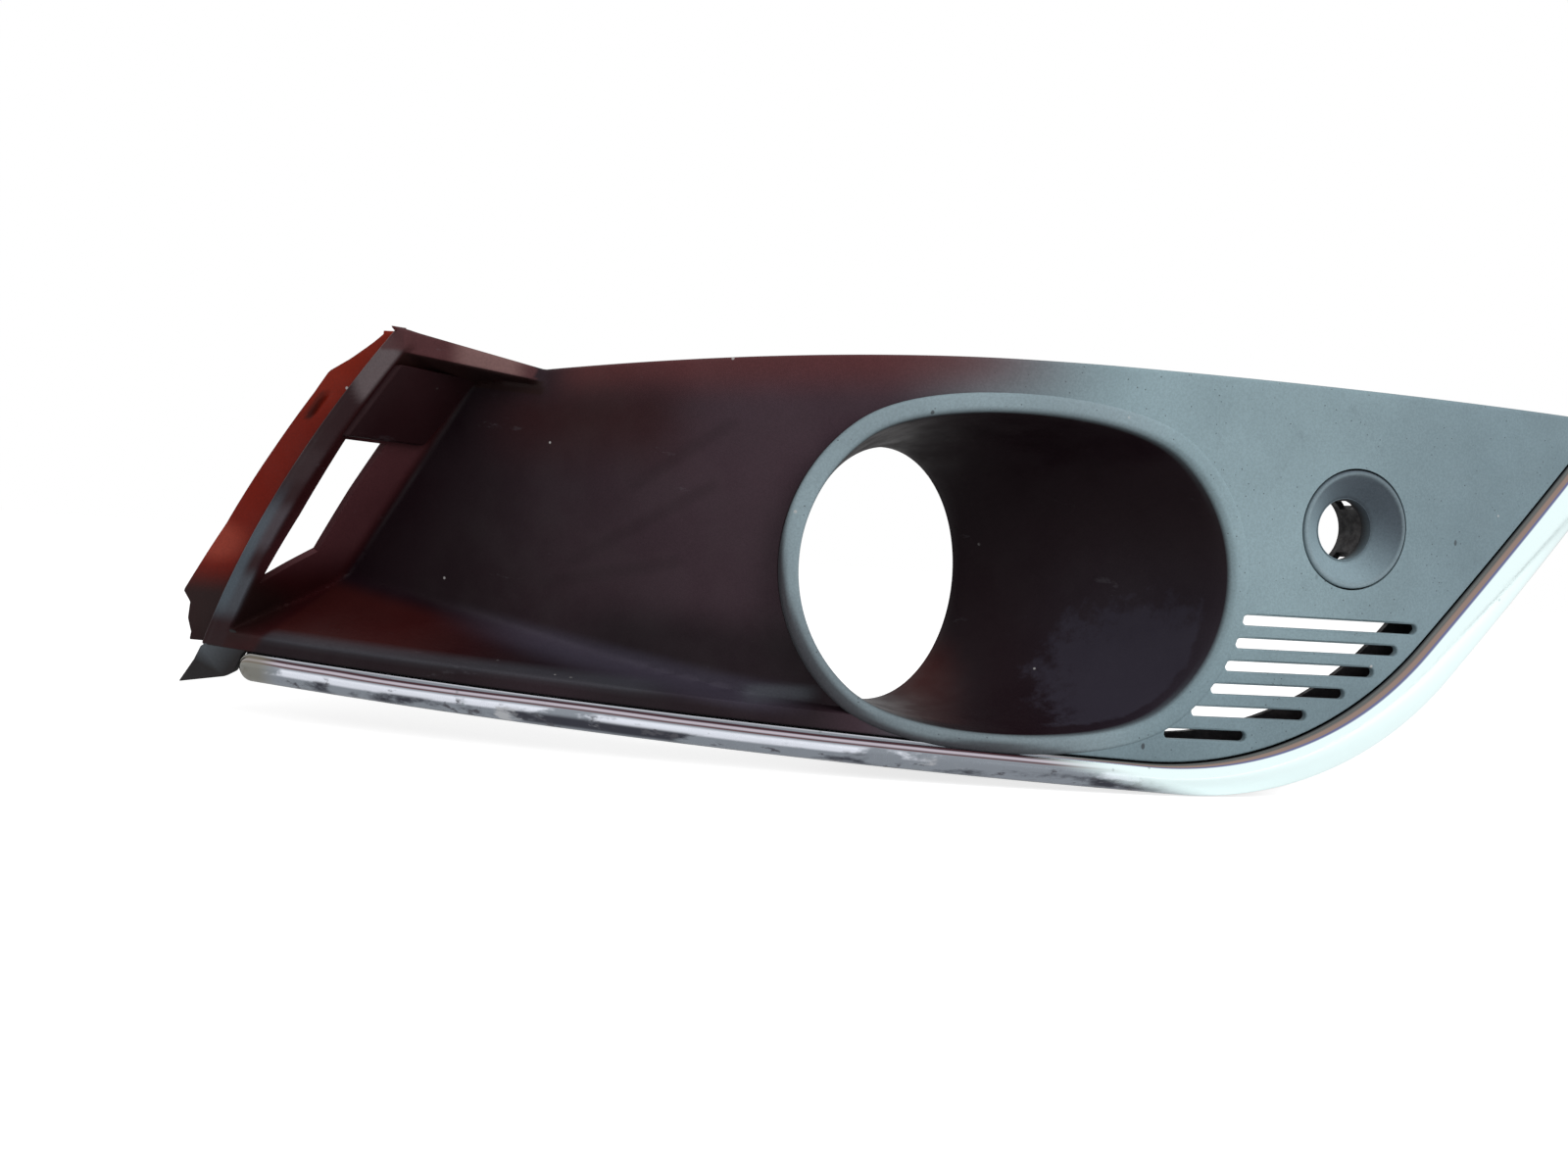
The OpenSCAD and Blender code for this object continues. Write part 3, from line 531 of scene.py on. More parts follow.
cup = lathe("seat_cutter", [(0, -9), (seat_r, -9), (seat_r, 20), (0, 20)], on_face(*sensor_at))
merge_doubles(cup, outward=True)
cutters.append(cup)


def on_wall(t, z, off=0.0):
    a = np.array([rim_in_x(z), face_y(rim_in_x(z))])
    b = np.array([crease_x(z), scoop_y(crease_x(z))])
    way = (b - a) / np.linalg.norm(b - a)
    p = mix(a, b, t) + np.array([-way[1], way[0]]) * off
    return p[0], p[1], z


window_top, window_foot = 34.0, -18.0
corners = [(0.10, window_top), (0.52, window_top), (0.52, window_foot + 12), (0.10, window_foot)]
rings = [[on_wall(t, z, off) for t, z in corners] for off in (-9.0, 12.0)]
middle = [np.mean(r, axis=0) for r in rings]
window_rings = [[middle[0]] * 4, rings[0], rings[1], [middle[1]] * 4]
window = shaped_grid("window_cutter", window_rings, around=True)
merge_doubles(window, outward=True)
cutters.append(window)
print("cutters", len(cutters))

# %% [markdown]
# The cutters are joined, so that one boolean does all the openings. The skin is still an open
# sheet, and a boolean leaves some of the cutter's faces in an open sheet. The cutter therefore
# carries a second material, and whatever has it after the cut is deleted.

# %% Cut the openings
def join(pieces, name):
    bpy.ops.object.select_all(action="DESELECT")
    for piece in pieces:
        piece.select_set(True)
    bpy.context.view_layer.objects.active = pieces[0]
    bpy.ops.object.join()
    joined = bpy.context.object
    joined.name = joined.data.name = name
    return joined


def cut(sheet, cutter):
    """Cuts an open sheet and clears away what the cutter's own faces left in it."""
    for piece in (sheet, cutter):
        for name in ("kept_face", "cut_face"):
            piece.data.materials.append(bpy.data.materials.get(name) or bpy.data.materials.new(name))
    cutter.data.polygons.foreach_set("material_index", np.ones(len(cutter.data.polygons), int))
    add_modifier(sheet, "BOOLEAN", operation="DIFFERENCE", solver="EXACT", object=cutter)
    bpy.data.objects.remove(cutter)
    edit(sheet)
    bpy.ops.mesh.select_all(action="DESELECT")
    bpy.ops.object.mode_set(mode="OBJECT")
    for face in sheet.data.polygons:
        face.select = face.material_index == 1
    left = sum(face.select for face in sheet.data.polygons)
    bpy.ops.object.mode_set(mode="EDIT")
    bpy.ops.mesh.select_mode(type="FACE")
    bpy.ops.mesh.delete(type="FACE")
    bpy.ops.mesh.select_mode(type="VERT")
    bpy.ops.object.mode_set(mode="OBJECT")
    sheet.data.materials.clear()
    return left


cutter = join(cutters, "cutter")
print("cutter faces cleared away", cut(front_skin, cutter))
add_modifier(front_skin, "SOLIDIFY", thickness=wall * 0.001, offset=-1, use_even_offset=False)
for vertex in front_skin.data.vertices:
    if vertex.co.z > rim_top[1] * 0.001 and vertex.co.x < to_part((roof_right, 0, 0))[0]:
        vertex.co.z = rim_top[1] * 0.001
print("front skin", triangles(front_skin), "triangles")

# %% [markdown]
# A moulded slot has soft edges. Bevelling the cut edges of so dense a grid gives small jagged
# faces at the slots' ends, so each edge is a ring of its own instead: a quarter round that runs
# from the panel down into the slot, and its wall behind.

# %% Rounded edges of the slots
quarter = [(slot_round * (1 - math.sin(a)), slot_round * (1 - math.cos(a)))
    for a in np.linspace(0, math.pi / 2, 6)]
slot_edges = []
for level in slot_levels:
    rings = []
    for off, depth in quarter + [(0.0, wall), (slot_round, wall), (slot_round, 0.0)]:
        rings.append([(x, float(face_y(x)) + depth, z) for x, z in slot_outline(level, slot_h / 2 + off)])
    slot_edges.append(shaped_grid("slot_edge", rings, around=True))
slot_edge = join(slot_edges, "slot_edges")
merge_doubles(slot_edge, outward=True)
smooth(slot_edge, 40)
smooth(front_skin, 40)
print("slot edges", triangles(slot_edge), "triangles")

# %% [markdown]
# The lamp bowl is a closed ring of wall: its lip stands proud of the face all round, its inner
# side bellies down to the lamp's bore, and its outer side comes back up to the lip. The lip's
# two edges are rounded with short curves between a point before and a point after each corner.

# %% Bowl profile
def bent(a, corner, b, steps):
    return [mix(mix(a, corner, t), mix(corner, b, t), t) for t in np.linspace(0, 1, steps)]


def toward(a, b, reach):
    length = np.linalg.norm(b - a)
    return a + (b - a) * min(reach / length, 0.45)


def at_depth(a, grow, depth):
    x, z = bowl_rim(a, grow)
    return np.array([x, float(face_y(x)) + depth, z])


def at_lamp(a, r, back):
    return np.array([lamp_x + r * math.cos(a) * math.cos(lamp_turn) - back * math.sin(lamp_turn),
        lamp_y + r * math.cos(a) * math.sin(lamp_turn) + back * math.cos(lamp_turn), r * math.sin(a)])


belly = np.array([0.3, 0.55, 0.3])


def bowl_ring(a):
    mouth, outer = at_depth(a, 0, -lip_proud), at_depth(a, bowl_lip, -lip_proud)
    low = at_depth(a, bowl_lip, mix(6, 10.5, min(1, max(0, -math.cos(a) * 1.5))))
    seat = at_lamp(a, lamp_r, 0)
    middle = mix(mouth, seat, belly)
    inner = [mix(mix(mouth, middle, t), mix(middle, seat, t), t) for t in np.linspace(0.12, 0.97, 14)]
    ring = [low, mix(low, outer, 0.6)]
    ring += bent(toward(outer, low, 1.6), outer, toward(outer, mouth, 1.6), 6)
    ring += [mix(outer, mouth, 0.5)]
    ring += bent(toward(mouth, outer, 2.2), mouth, inner[0], 7)
    ring += inner[1:]
    collar_r = lamp_r + wall + 1
    ring += [seat] + [at_lamp(a, r, share * bore_len)
        for r, share in ((lamp_r, 0.5), (lamp_r, 1.0), (collar_r, 1.0), (collar_r, 0.7))]
    collar = ring[-1]
    back = mix(low, collar, belly)
    ring += [mix(mix(low, back, t), mix(back, collar, t), t) for t in (0.8, 0.6, 0.4, 0.2)]
    return ring


turns = np.linspace(0, 2 * np.pi, 144, endpoint=False)
bowl = shaped_grid("lamp_bowl", [bowl_ring(a) for a in turns], around=True, along=True)
merge_doubles(bowl, outward=True)
smooth(bowl, 50)
print("bowl", triangles(bowl), "triangles")

# %% [markdown]
# The pad over the air window and the foot under the rim are raised blocks of the same
# moulding. The pad starts as a cube, whose corners go to their places on the wall, and the foot
# as a flat outline drawn out into a plate; Bevel rounds the edges of both.

# %% Pad and foot
def round_edges(piece, bevel, segments=3):
    add_modifier(piece, "BEVEL", width=bevel * 0.001, segments=segments, limit_method="ANGLE",
        angle_limit=math.radians(30))
    smooth(piece, 40)
    return piece


def block(name, corners, bevel=0.8, segments=3):
    """A cube whose corners, low and high, left and right, front and back, are put in place."""
    bpy.ops.mesh.primitive_cube_add(size=2)
    piece = bpy.context.object
    piece.name = piece.data.name = name
    for vertex in piece.data.vertices:
        key = tuple(1 if v > 0 else 0 for v in vertex.co)
        vertex.co = to_part(corners[key])
    return round_edges(piece, bevel, segments)


pad_t, pad_low, pad_high = 3.0, window_top + 1.0, 59.5
eight = [(i, j, k) for i in (0, 1) for j in (0, 1) for k in (0, 1)]
pad = block("pad", {(i, j, k): on_wall((0.04, (0.86, 0.97)[k])[i], (pad_low, pad_high)[k], (-pad_t, 0.8)[j])
    for i, j, k in eight}, bevel=0.7)


def plate(name, outline, front, back, bevel=0.6):
    """A flat outline in x and z made a plate that follows the face."""
    bpy.ops.mesh.primitive_circle_add(vertices=len(outline), radius=1, fill_type="NGON")
    piece = bpy.context.object
    piece.name = piece.data.name = name
    for vertex, (x, z) in zip(piece.data.vertices, outline):
        vertex.co = to_part((x, float(face_y(x)) + back, z))
    edit(piece)
    bpy.ops.mesh.normals_make_consistent(inside=False)
    bpy.ops.mesh.extrude_region_move(TRANSFORM_OT_translate={"value": (0, (front - back) * 0.001, 0)})
    bpy.ops.mesh.select_all(action="SELECT")
    bpy.ops.mesh.normals_make_consistent(inside=False)
    bpy.ops.object.mode_set(mode="OBJECT")
    return round_edges(piece, bevel)


trim_left, trim_w_low, trim_w_tip = -247.0, 10.3, 18.9
end_z = float(edge_z(np.array(trim_left)))
foot_outline = [(-271.5, -55.0), (trim_left - 6, -51.3), (trim_left - 2.0, end_z - trim_w_low + 2.6),
    (trim_left - 0.6, end_z - 5.0), (trim_left + 0.8, end_z - 1.5), (trim_left + 3, end_z + 0.6),
    (-240.0, end_z + 3.0), (-252.0, -34.0), (float(rim_x(-42.0)) + 0.3, -41.5), (-265.6, -46.5)]
foot = plate("foot", foot_outline, 0.3, 4.8)
print("pad and foot", triangles(pad), triangles(foot))

# %% [markdown]
# The bright trim is one long strip. Its band runs between two lines, the edge of the moulding
# and its own outer edge, and its section is a low crown with a fine step along the inner side.
# The left end closes as a half round.

# %% Trim lines
trim_sin = math.sin(seat_fall + tip_angle)
trim_shift = np.array([(math.cos(seat_fall) * trim_w_tip - math.cos(tip_angle) * trim_w_low) / trim_sin,
    -(math.sin(seat_fall) * trim_w_tip + math.sin(tip_angle) * trim_w_low) / trim_sin])
trim_top, trim_gap, trim_depth = top_z - 1, 0.5, 3.0


def edge_path(grow, shift, left, top):
    """The edge line grown outward and shifted: foot, bend and side as lists of points."""
    foot_at = np.array([0, seat_z0]) + grow * np.array([-math.sin(seat_fall), -math.cos(seat_fall)]) + shift
    side_at = np.array([tip_x, top_z]) + grow * np.array([math.sin(tip_angle), -math.cos(tip_angle)]) + shift
    a = np.linspace(-math.pi / 2 - seat_fall, -math.pi / 2 + tip_angle, 40)
    bend = bend_mid + shift + (corner_r + grow) * np.stack([np.cos(a), np.sin(a)], axis=1)
    start = np.array([left, foot_at[1] - foot_slope * (left - foot_at[0])])
    end = np.array([side_at[0] + (top - side_at[1]) / tip_slope, top])
    foot_line = [mix(start, bend[0], f) for f in np.linspace(0, 1, 110, endpoint=False)]
    side_line = [mix(bend[-1], end, f) for f in np.linspace(0, 1, 60)[1:]]
    return np.concatenate([foot_line, bend, side_line])


end_r = (trim_w_low - trim_gap) / 2
inner_line = edge_path(trim_gap, np.zeros(2), trim_left + end_r, trim_top)
outer_line = edge_path(0, trim_shift, trim_left + end_r, trim_top)
print("trim stations", len(inner_line))

# %% [markdown]
# The section is one list of shares across the band and heights above it. It is carried along
# the two lines like a loft, and towards the left end it gets narrower and flatter. Solidify
# then gives the strip the thickness of a plated moulding.

# %% Trim strip
crown = [(0.0, trim_depth), (0.0, 1.2), (0.0, 0.4), (0.012, 0.12), (0.035, 0.0), (0.06, 0.02), (0.085, 0.12),
    (0.10, 0.10), (0.12, -0.12), (0.15, -0.45), (0.2, -0.82), (0.27, -1.13), (0.36, -1.36), (0.45, -1.47),
    (0.53, -1.5), (0.62, -1.44), (0.71, -1.26), (0.8, -0.94), (0.88, -0.48), (0.94, 0.06), (0.98, 0.75),
    (1.0, 1.5), (1.0, 2.2), (1.0, trim_depth)]
stations = []
for q in np.sin(np.linspace(math.pi / 2, 0, 14, endpoint=False)):
    middle = (inner_line[0] + outer_line[0]) / 2 + np.array([-q * end_r, q * end_r * foot_slope])
    across = (outer_line[0] - inner_line[0]) / 2 * math.sqrt(max(0.0, 1 - q * q))
    stations.append((middle - across, middle + across, math.sqrt(max(0.0, 1 - q * q))))
stations += [(a, b, 1.0) for a, b in zip(inner_line, outer_line)]
strip = []
for a, b, rise in stations:
    row = []
    for w, y in crown:
        x, z = mix(a, b, w)
        y = y if y > 1.2 else mix(1.2, y, rise ** 0.7)
        row.append((x, float(face_y(x)) + y, z))
    strip.append(row)
strip = np.array(strip).transpose(1, 0, 2)[::-1]
trim = shaped_grid("bright_trim", strip)
add_modifier(trim, "SOLIDIFY", thickness=0.0016, offset=-1, use_even_offset=False)
smooth(trim, 60)
print("trim", triangles(trim), "triangles")

# %% [markdown]
# Behind the trim the moulding has a seat: a floor that the trim lies on and an outer wall that
# runs back. Its section is one closed loop carried along the same edge lines, and at the left
# end it shrinks onto the trim's middle line, as the trim does.

# %% Trim seat
seat_front, seat_out, seat_deep = trim_depth + 0.2, 0.6, 12.0
section = [("in", -1.2, seat_front), ("out", seat_out, seat_front), ("out", seat_out, seat_deep),
    ("out", seat_out + wall, seat_deep), ("out", seat_out + wall, seat_front + wall),
    ("in", -1.2, seat_front + wall)]


def seat_line(kind, off):
    grow, shift = (off, np.zeros(2)) if kind == "in" else (-off, trim_shift)
    return edge_path(grow, shift, trim_left + end_r, trim_top)


def seat_row(places):
    return [(x, float(face_y(x)) + depth, z) for (x, z), (_, _, depth) in zip(places, section)]


seat_lines = [seat_line(kind, off) for kind, off, _ in section]
seat_middle = (seat_line("in", 0)[0] + seat_line("out", 0)[0]) / 2
seat_rows = []
for q in np.sin(np.linspace(math.pi / 2, 0, 10, endpoint=False)):
    left_end = seat_middle + np.array([-q * (end_r - seat_out), q * end_r * foot_slope])
    places = [left_end + (line[0] - seat_middle) * math.sqrt(max(0.0, 1 - q * q)) for line in seat_lines]
    seat_rows.append(seat_row(places))
for i in range(0, len(seat_lines[0]), 2):
    seat_rows.append(seat_row([line[i] for line in seat_lines]))
last = np.array(seat_rows[-1])
seat_rows.append([tuple(last.mean(axis=0))] * len(section))
trim_seat = shaped_grid("trim_seat", seat_rows, around=True)
merge_doubles(trim_seat, outward=True)
smooth(trim_seat, 30)
print("trim seat", triangles(trim_seat), "triangles")

# %% [markdown]
# The small turned shapes behind the face are all made by one lathe: the sensor's seat with the
# ledge that its ring rests on, the two bosses for the lamp's screws, and the three bosses that
# hold the trim's backing strip.

# %% Turned seats and bosses
def along_trim(s):
    """A place on the trim's middle line, with s from 0 at its left end to 1 at its tip."""
    foot_len = np.linalg.norm(bend_from - np.array([trim_left, float(edge_z(np.array(trim_left)))]))
    bend_len = corner_r * (seat_fall + tip_angle)
    side_len = np.linalg.norm(np.array([tip_x, top_z]) - bend_to)
    t = s * (foot_len + bend_len + side_len)
    a = -math.pi / 2 - seat_fall + (t - foot_len) / corner_r
    if t < foot_len:
        at = bend_from - (foot_len - t) * np.array([math.cos(seat_fall), -math.sin(seat_fall)])
    elif t < foot_len + bend_len:
        at = bend_mid + corner_r * np.array([math.cos(a), math.sin(a)])
    else:
        at = bend_to + (t - foot_len - bend_len) * np.array([math.cos(tip_angle), math.sin(tip_angle)])
    return at + trim_shift / 2


def turned(name, profile, place, steps):
    piece = lathe(name, profile + profile[:1], place, steps)
    merge_doubles(piece, outward=True)
    smooth(piece, 40)
    return piece


seat_wall, ledge_r = seat_r + wall, seat_r - 3.1
sensor_cup = turned("sensor_seat", [(seat_r, 1), (seat_wall, 1), (seat_wall, ledge_at + wall),
    (ledge_r, ledge_at + wall), (ledge_r, ledge_at), (seat_r, ledge_at)], on_face(*sensor_at), 72)
lamp_pcd, boss_r, boss_len, boss_front, insert_r, insert_len = 112.0, 5.5, 14.0, 9.0, 3.2, 8.0


def on_lamp(side):
    """Turns points drawn about a lamp boss, Y along the lamp's axis, into the drawing frame."""
    c, s = math.cos(lamp_turn), math.sin(lamp_turn)
    return lambda points: np.array([[lamp_x + x * c - y * s, lamp_y + x * s + y * c, z + side * lamp_pcd / 2]
        for x, y, z in points])


hole_end = boss_len - insert_len - 1
lamp_boss = [(0.05, hole_end), (insert_r, hole_end), (insert_r, boss_len), (boss_r - 0.4, boss_len),
    (boss_r, boss_len - 0.4), (boss_r, -boss_front), (0.05, -boss_front)]
backing_boss = [(1.5, seat_front + 1), (1.5, seat_deep), (3.6, seat_deep), (4.0, seat_deep - 0.4),
    (4.0, seat_front + 1)]
bosses = [turned("lamp_boss", lamp_boss, on_lamp(side), 40) for side in (-1, 1)]
for s in (0.615, 0.73, 0.845):
    x, z = along_trim(s)
    bosses.append(turned("backing_boss", backing_boss, on_face(float(x), float(z)), 32))
print("turned pieces", 1 + len(bosses))

# %% [markdown]
# Ribs tie the two lamp bosses to the bowl, and flat tabs on the top return carry the spring
# clips. All are plain slabs with small bevels, so one helper makes them from two corners.

# %% Ribs and clip tabs
def slab(name, low, high, place=lambda points: points, bevel=0.4):
    ends = (low, high)
    corners = {(i, j, k): place([(ends[i][0], ends[j][1], ends[k][2])])[0] for i, j, k in eight}
    piece = block(name, corners, bevel=bevel, segments=2)
    merge_doubles(piece, outward=True)
    return piece


ribs = []
for side in (-1, 1):
    reach = sorted((-side * (lamp_pcd / 2 - lamp_r - 1), -side * (boss_r - 1)))
    ribs.append(slab("lamp_rib", (-1.2, 0.5, reach[0]), (1.2, boss_len - 3, reach[1]), on_lamp(side)))
tab_w, tab_len, tab_t = 14.0, 12.0, wall - 0.5
for x in (-62.0, 30.0, 110.0, 180.0):
    back, level = float(scoop_y(x)) + return_depth, float(top_edge(x)) - wall + 0.2
    low, high = (x - tab_w / 2, back - 5, level), (x + tab_w / 2, back + tab_len, level + tab_t)
    ribs.append(slab("clip_tab", low, high))
print("ribs and tabs", len(ribs))

# %% [markdown]
# The ring is a separate, finely finished cone that leads down to the sensor. It is a single
# turned section: a rolled outer edge, the cone, a short tube and the underside. The rolled
# edge catches the light, and the narrow gap round it shows as a dark line.

# %% Sensor ring
ring_r, tube_t = sensor_ring_r, 2.0
tube_r, tube_end = sensor_r + tube_t, sensor_depth + 4.5
foot_round = [(sensor_r + 0.35 * math.sin(a), sensor_depth - 0.15 + 0.5 - 0.5 * math.cos(a))
    for a in np.linspace(1.2, 0, 5)]
rolled = [(ring_r - 0.9 + 0.9 * math.cos(a), 0.35 - 0.75 * math.sin(a)) for a in np.linspace(0, 2.6, 12)]
cone_from, cone_to = np.array((ring_r - 2.0, 0.25)), np.array(foot_round[0])
cone = [mix(cone_from, cone_to, t) for t in np.linspace(0, 1, 9)]
underside = [(sensor_r, tube_end), (tube_r, tube_end), (tube_r, sensor_depth + 1.2), (ring_r - 4, 3.2),
    (ring_r - 2, 3.2), (ring_r - 2, ledge_at - 0.3)]
ring_profile = [(ring_r, ledge_at - 0.3), (ring_r, 1.2)] + rolled + cone + foot_round[1:] + underside
sensor_ring = turned("sensor_ring_dressed", ring_profile, on_face(*sensor_at), 128)
print("sensor ring", triangles(sensor_ring), "triangles")

# %% [markdown]
# The plastic has faded unevenly, and light and shade are painted into it as well. Where rain and
# sun reach it, on the inner panel and the bowl's lip, it is a pale blue grey, which is partly fading
# and partly a painted sheen of the sky. In the scoop and the bowl it is still a dark purple brown,
# partly the unfaded plastic and partly painted shade. These slow changes are worked out for every
# vertex from its place and kept as a colour attribute called tone, with the amount of fading and
# painted sheen next to it as pale. The fine detail, such as grain and specks, is left to the
# material's nodes.

# %% Colours
def hue(red, green, blue):
    """A colour written in the usual 0 to 255 display values, turned linear."""
    c = np.array([red, green, blue]) / 255
    return np.where(c <= 0.04045, c / 12.92, ((c + 0.055) / 1.055) ** 2.4)


# pale_grey is fading plus a painted sheen of the sky, and deep_scoop the unfaded plastic plus painted shade.
pale_grey, old_plastic, deep_scoop = hue(117, 135, 141), hue(52, 38, 45), hue(20, 9, 14)
# red_brown is a painted red reflection.
red_brown, near_black = hue(82, 40, 39), hue(14, 7, 11)
dust_blue, lip_grey = hue(48, 45, 55), hue(119, 134, 140)


def step(value, low, high):
    t = np.clip((value - low) / (high - low), 0, 1)
    return t * t * (3 - 2 * t)


def over(colours, colour, amount):
    return colours + (colour - colours) * np.clip(amount, 0, 1)[:, None]


def near_line(x, z, ends, wide):
    """One on a stroke between two ends, falling to nothing at its width."""
    a, b = np.array(ends[0], float), np.array(ends[1], float)
    way = b - a
    t = np.clip(((x - a[0]) * way[0] + (z - a[1]) * way[1]) / (way @ way), 0, 1)
    away = np.hypot(x - a[0] - t * way[0], z - a[1] - t * way[1])
    return 1 - step(away, 0.2 * wide, wide)


def keep_paint(piece, tone, pale, dust):
    data = piece.data.attributes
    colour = data.new("tone", "FLOAT_COLOR", "POINT")
    colour.data.foreach_set("color", np.concatenate([tone, np.ones((len(tone), 1))], axis=1).ravel())
    for name, values in (("pale", pale), ("dust", dust)):
        made = data.new(name, "FLOAT", "POINT")
        made.data.foreach_set("value", np.broadcast_to(values, len(tone)).astype(float).copy())


print("pale grey in linear values", pale_grey.round(3))

# %% [markdown]
# The front is painted from the panel outwards: the pale panel with its painted sheen, the dark
# scoop with painted shade at its upper left and low on its floor, a painted reddish reflection
# under the top edge and faint lines where water has run down the scoop's floor. Each line lays
# one soft-edged colour over what is there.

# %% Fading of the front
def panel_tone(x, z, tone, pale):
    """The panel is a little darker towards its inner end and its lower edge."""
    share = np.clip(step(x, 105, 190) * 0.8 + (1 - step(z, -46, 4)) * 0.75, 0, 1)
    return over(tone, hue(96, 112, 119), 0.9 * pale * share)


p = drawn(front_skin)
x, y, z = p.T
behind = y - face_y(x)
# Pale panel to dark scoop: partly fading, partly a painted sheen on the panel and painted shade deepening
# towards the scoop's end.
pale = step(x, -38, 48) * (1 - step(behind, 3, 9) * (x < 0))
tone = over(np.tile(deep_scoop, (len(x), 1)), old_plastic, step(x, -185, -62))
tone = over(tone, pale_grey, pale)
tone = panel_tone(x, z, tone, pale)
# Painted reflection: a reddish tint under the top edge, where red surroundings are mirrored.
under_top_reflection = 1 - step(top_edge(x) - z, 1, 17)
tone = over(tone, red_brown, 0.62 * under_top_reflection * (1 - step(x, -14, 44)) * step(x, -150, -130))
# Painted shade: the scoop's upper left, below the roof, is darkened.
left_high_shade = step(z, 22, 48) * (1 - step(x, -112, -84)) * step(x, -180, -150)
tone = over(tone, hue(34, 12, 14), 0.85 * left_high_shade * (1 - under_top_reflection))
# Painted shade: the scoop's floor is painted near black low down, above the ledge.
floor_low_shade = (1 - step(z, -26, -8)) * (1 - step(x, -52, -30)) * step(x, -150, -110)
tone = over(tone, near_black, 0.8 * floor_low_shade)
for ends in (((-82, 47), (-113, 25)), ((-87, 26), (-133, -2)), ((-97, 0), (-143, -11))):
    tone = over(tone, deep_scoop, 0.26 * near_line(x, z, ends, 3.4))
tone = over(tone, near_black, 0.8 * near_line(x, z, ((-110, 69.5), (-92, 70)), 2.2))
print("front skin", len(x), "points, mean fading", round(float(pale.mean()), 2))

# %% [markdown]
# The left part has small areas of its own, such as the ledge, the crease, the rim and the flange.
# Much of their colour is painted light: painted shade on the end wall and under the roof, painted
# highlights on the rim, the ledge's rounded top and the lip's edge, and painted red reflections on
# the flange, the roof's face and the end wall's strip. The same functions that gave the shape say
# where they are, so the paint can't slip off the edge that it belongs to.

# %% Ledge, end wall and rim
low, high = lip_z(x), ledge_z(x)
on_ledge = (1 - step(z, high - 3, high + 3)) * (x < -30) * step(z, low - 1, low + 2)
tone = over(tone, near_black, 0.6 * on_ledge)
tone = over(tone, hue(46, 14, 13), 0.9 * on_ledge * (1 - step(x, -196, -136)))
# Painted highlight: a pale band along the rounded corner between the ledge and the scoop's floor.
fillet_highlight = 1 - step(np.abs(z - high - 1.0), 1.5, 6.5)
fillet_highlight = fillet_highlight * (x < -50) * step(x, -190, -130) * (1 - step(x, -75, -45))
tone = over(tone, hue(58, 54, 66), 0.66 * fillet_highlight)
# Painted highlight: a pale line along the ledge's lower edge at the lip.
lip_edge_highlight = 1 - step(np.abs(z - low - 0.3), 0.6, 2.6)
tone = over(tone, hue(62, 64, 70), 0.5 * lip_edge_highlight * (x < -30) * (1 - step(np.abs(x + 170), 60, 80)))
# Painted shade: the end wall past the crease is painted dark, with a red cast of painted reflection.
past_crease = crease_x(z) - x
tone = over(tone, hue(36, 8, 10), step(past_crease, -1.5, 1.5) * (x < -150))
# Painted reflection: a reddish strip of the end wall along the crease, mirroring red surroundings.
crease_strip_reflection = step(past_crease, 0, 3) * (1 - step(past_crease, 14, 22)) * step(z, -20, 0) * (1 - step(z, 33, 38))
tone = over(tone, hue(78, 44, 48), 0.75 * crease_strip_reflection * (x < -150))
# Painted shade: a dark patch over the rim's lower part and the end wall's low corner.
tone = over(tone, hue(22, 10, 9), 0.9 * (1 - step(np.hypot(x + 250, z + 25), 6, 17)))
# Painted shade under the roof.
under_roof_shade = (z > roof_line(x) - 5) * (z < roof_line(x)) * (x < roof_right) * (behind > 1.5)
tone = over(tone, hue(26, 10, 8), 0.85 * under_roof_shade)
on_rim = step(rim_in_x(z) - x, -0.8, 0.6) * (x < -150) * (behind < 3)
tone = over(tone, hue(34, 16, 19), on_rim)
# Painted highlights: lighter bands across the rim at three heights.
rim_light_bands = ((2.0, 11, hue(66, 60, 65)), (-22.0, 11, hue(64, 68, 74)), (24.0, 8, hue(44, 30, 33)))
for at, tall, colour in rim_light_bands:
    tone = over(tone, colour, 0.85 * on_rim * (1 - step(np.abs(z - at), 0.4 * tall, tall)))
# Painted highlight along the rim's outer half, low down; it also raises pale.
rim_outer_highlight = on_rim * (1 - step(x - rim_x(z), 3.0, 6.0))
tone = over(tone, hue(70, 80, 88), 0.8 * rim_outer_highlight * (1 - step(z, 0, 22)) * step(z, -32, -22))
# Painted highlight: a pale patch near the rim's top.
tone = over(tone, hue(90, 80, 82), 0.9 * on_rim * (1 - step(np.hypot(x + 200, (z - 57) * 0.8), 7, 12)))
# Painted reflection and highlight: the roof's front face is tinted reddish by painted reflection, with a
# painted highlight near x -166.
roof_face = step(z, roof_line(x) - 0.5, roof_line(x) + 1) * (x < roof_right) * (x > -200) * (behind < 30)
tone = over(tone, hue(68, 40, 42), 0.85 * roof_face)
tone = over(tone, hue(112, 86, 84), 0.7 * roof_face * (1 - step(np.abs(x + 166), 6, 14)))
on_flange = (1 - step(x - rim_x(z), -2.5, -1.0)) * (x < -150)
# Painted reflection: the flange's red is mirrored orange surroundings on charcoal plastic; below z -10 it
# gives way to a dark tone.
tone = over(tone, hue(96, 18, 6), on_flange)
tone = over(tone, hue(30, 12, 12), on_flange * (1 - step(z, -24, -10)))
tone = over(tone, hue(24, 5, 4), on_flange * near_line(x, z, ((-223.4, 49.6), (-228.2, 41.6)), 2.0))
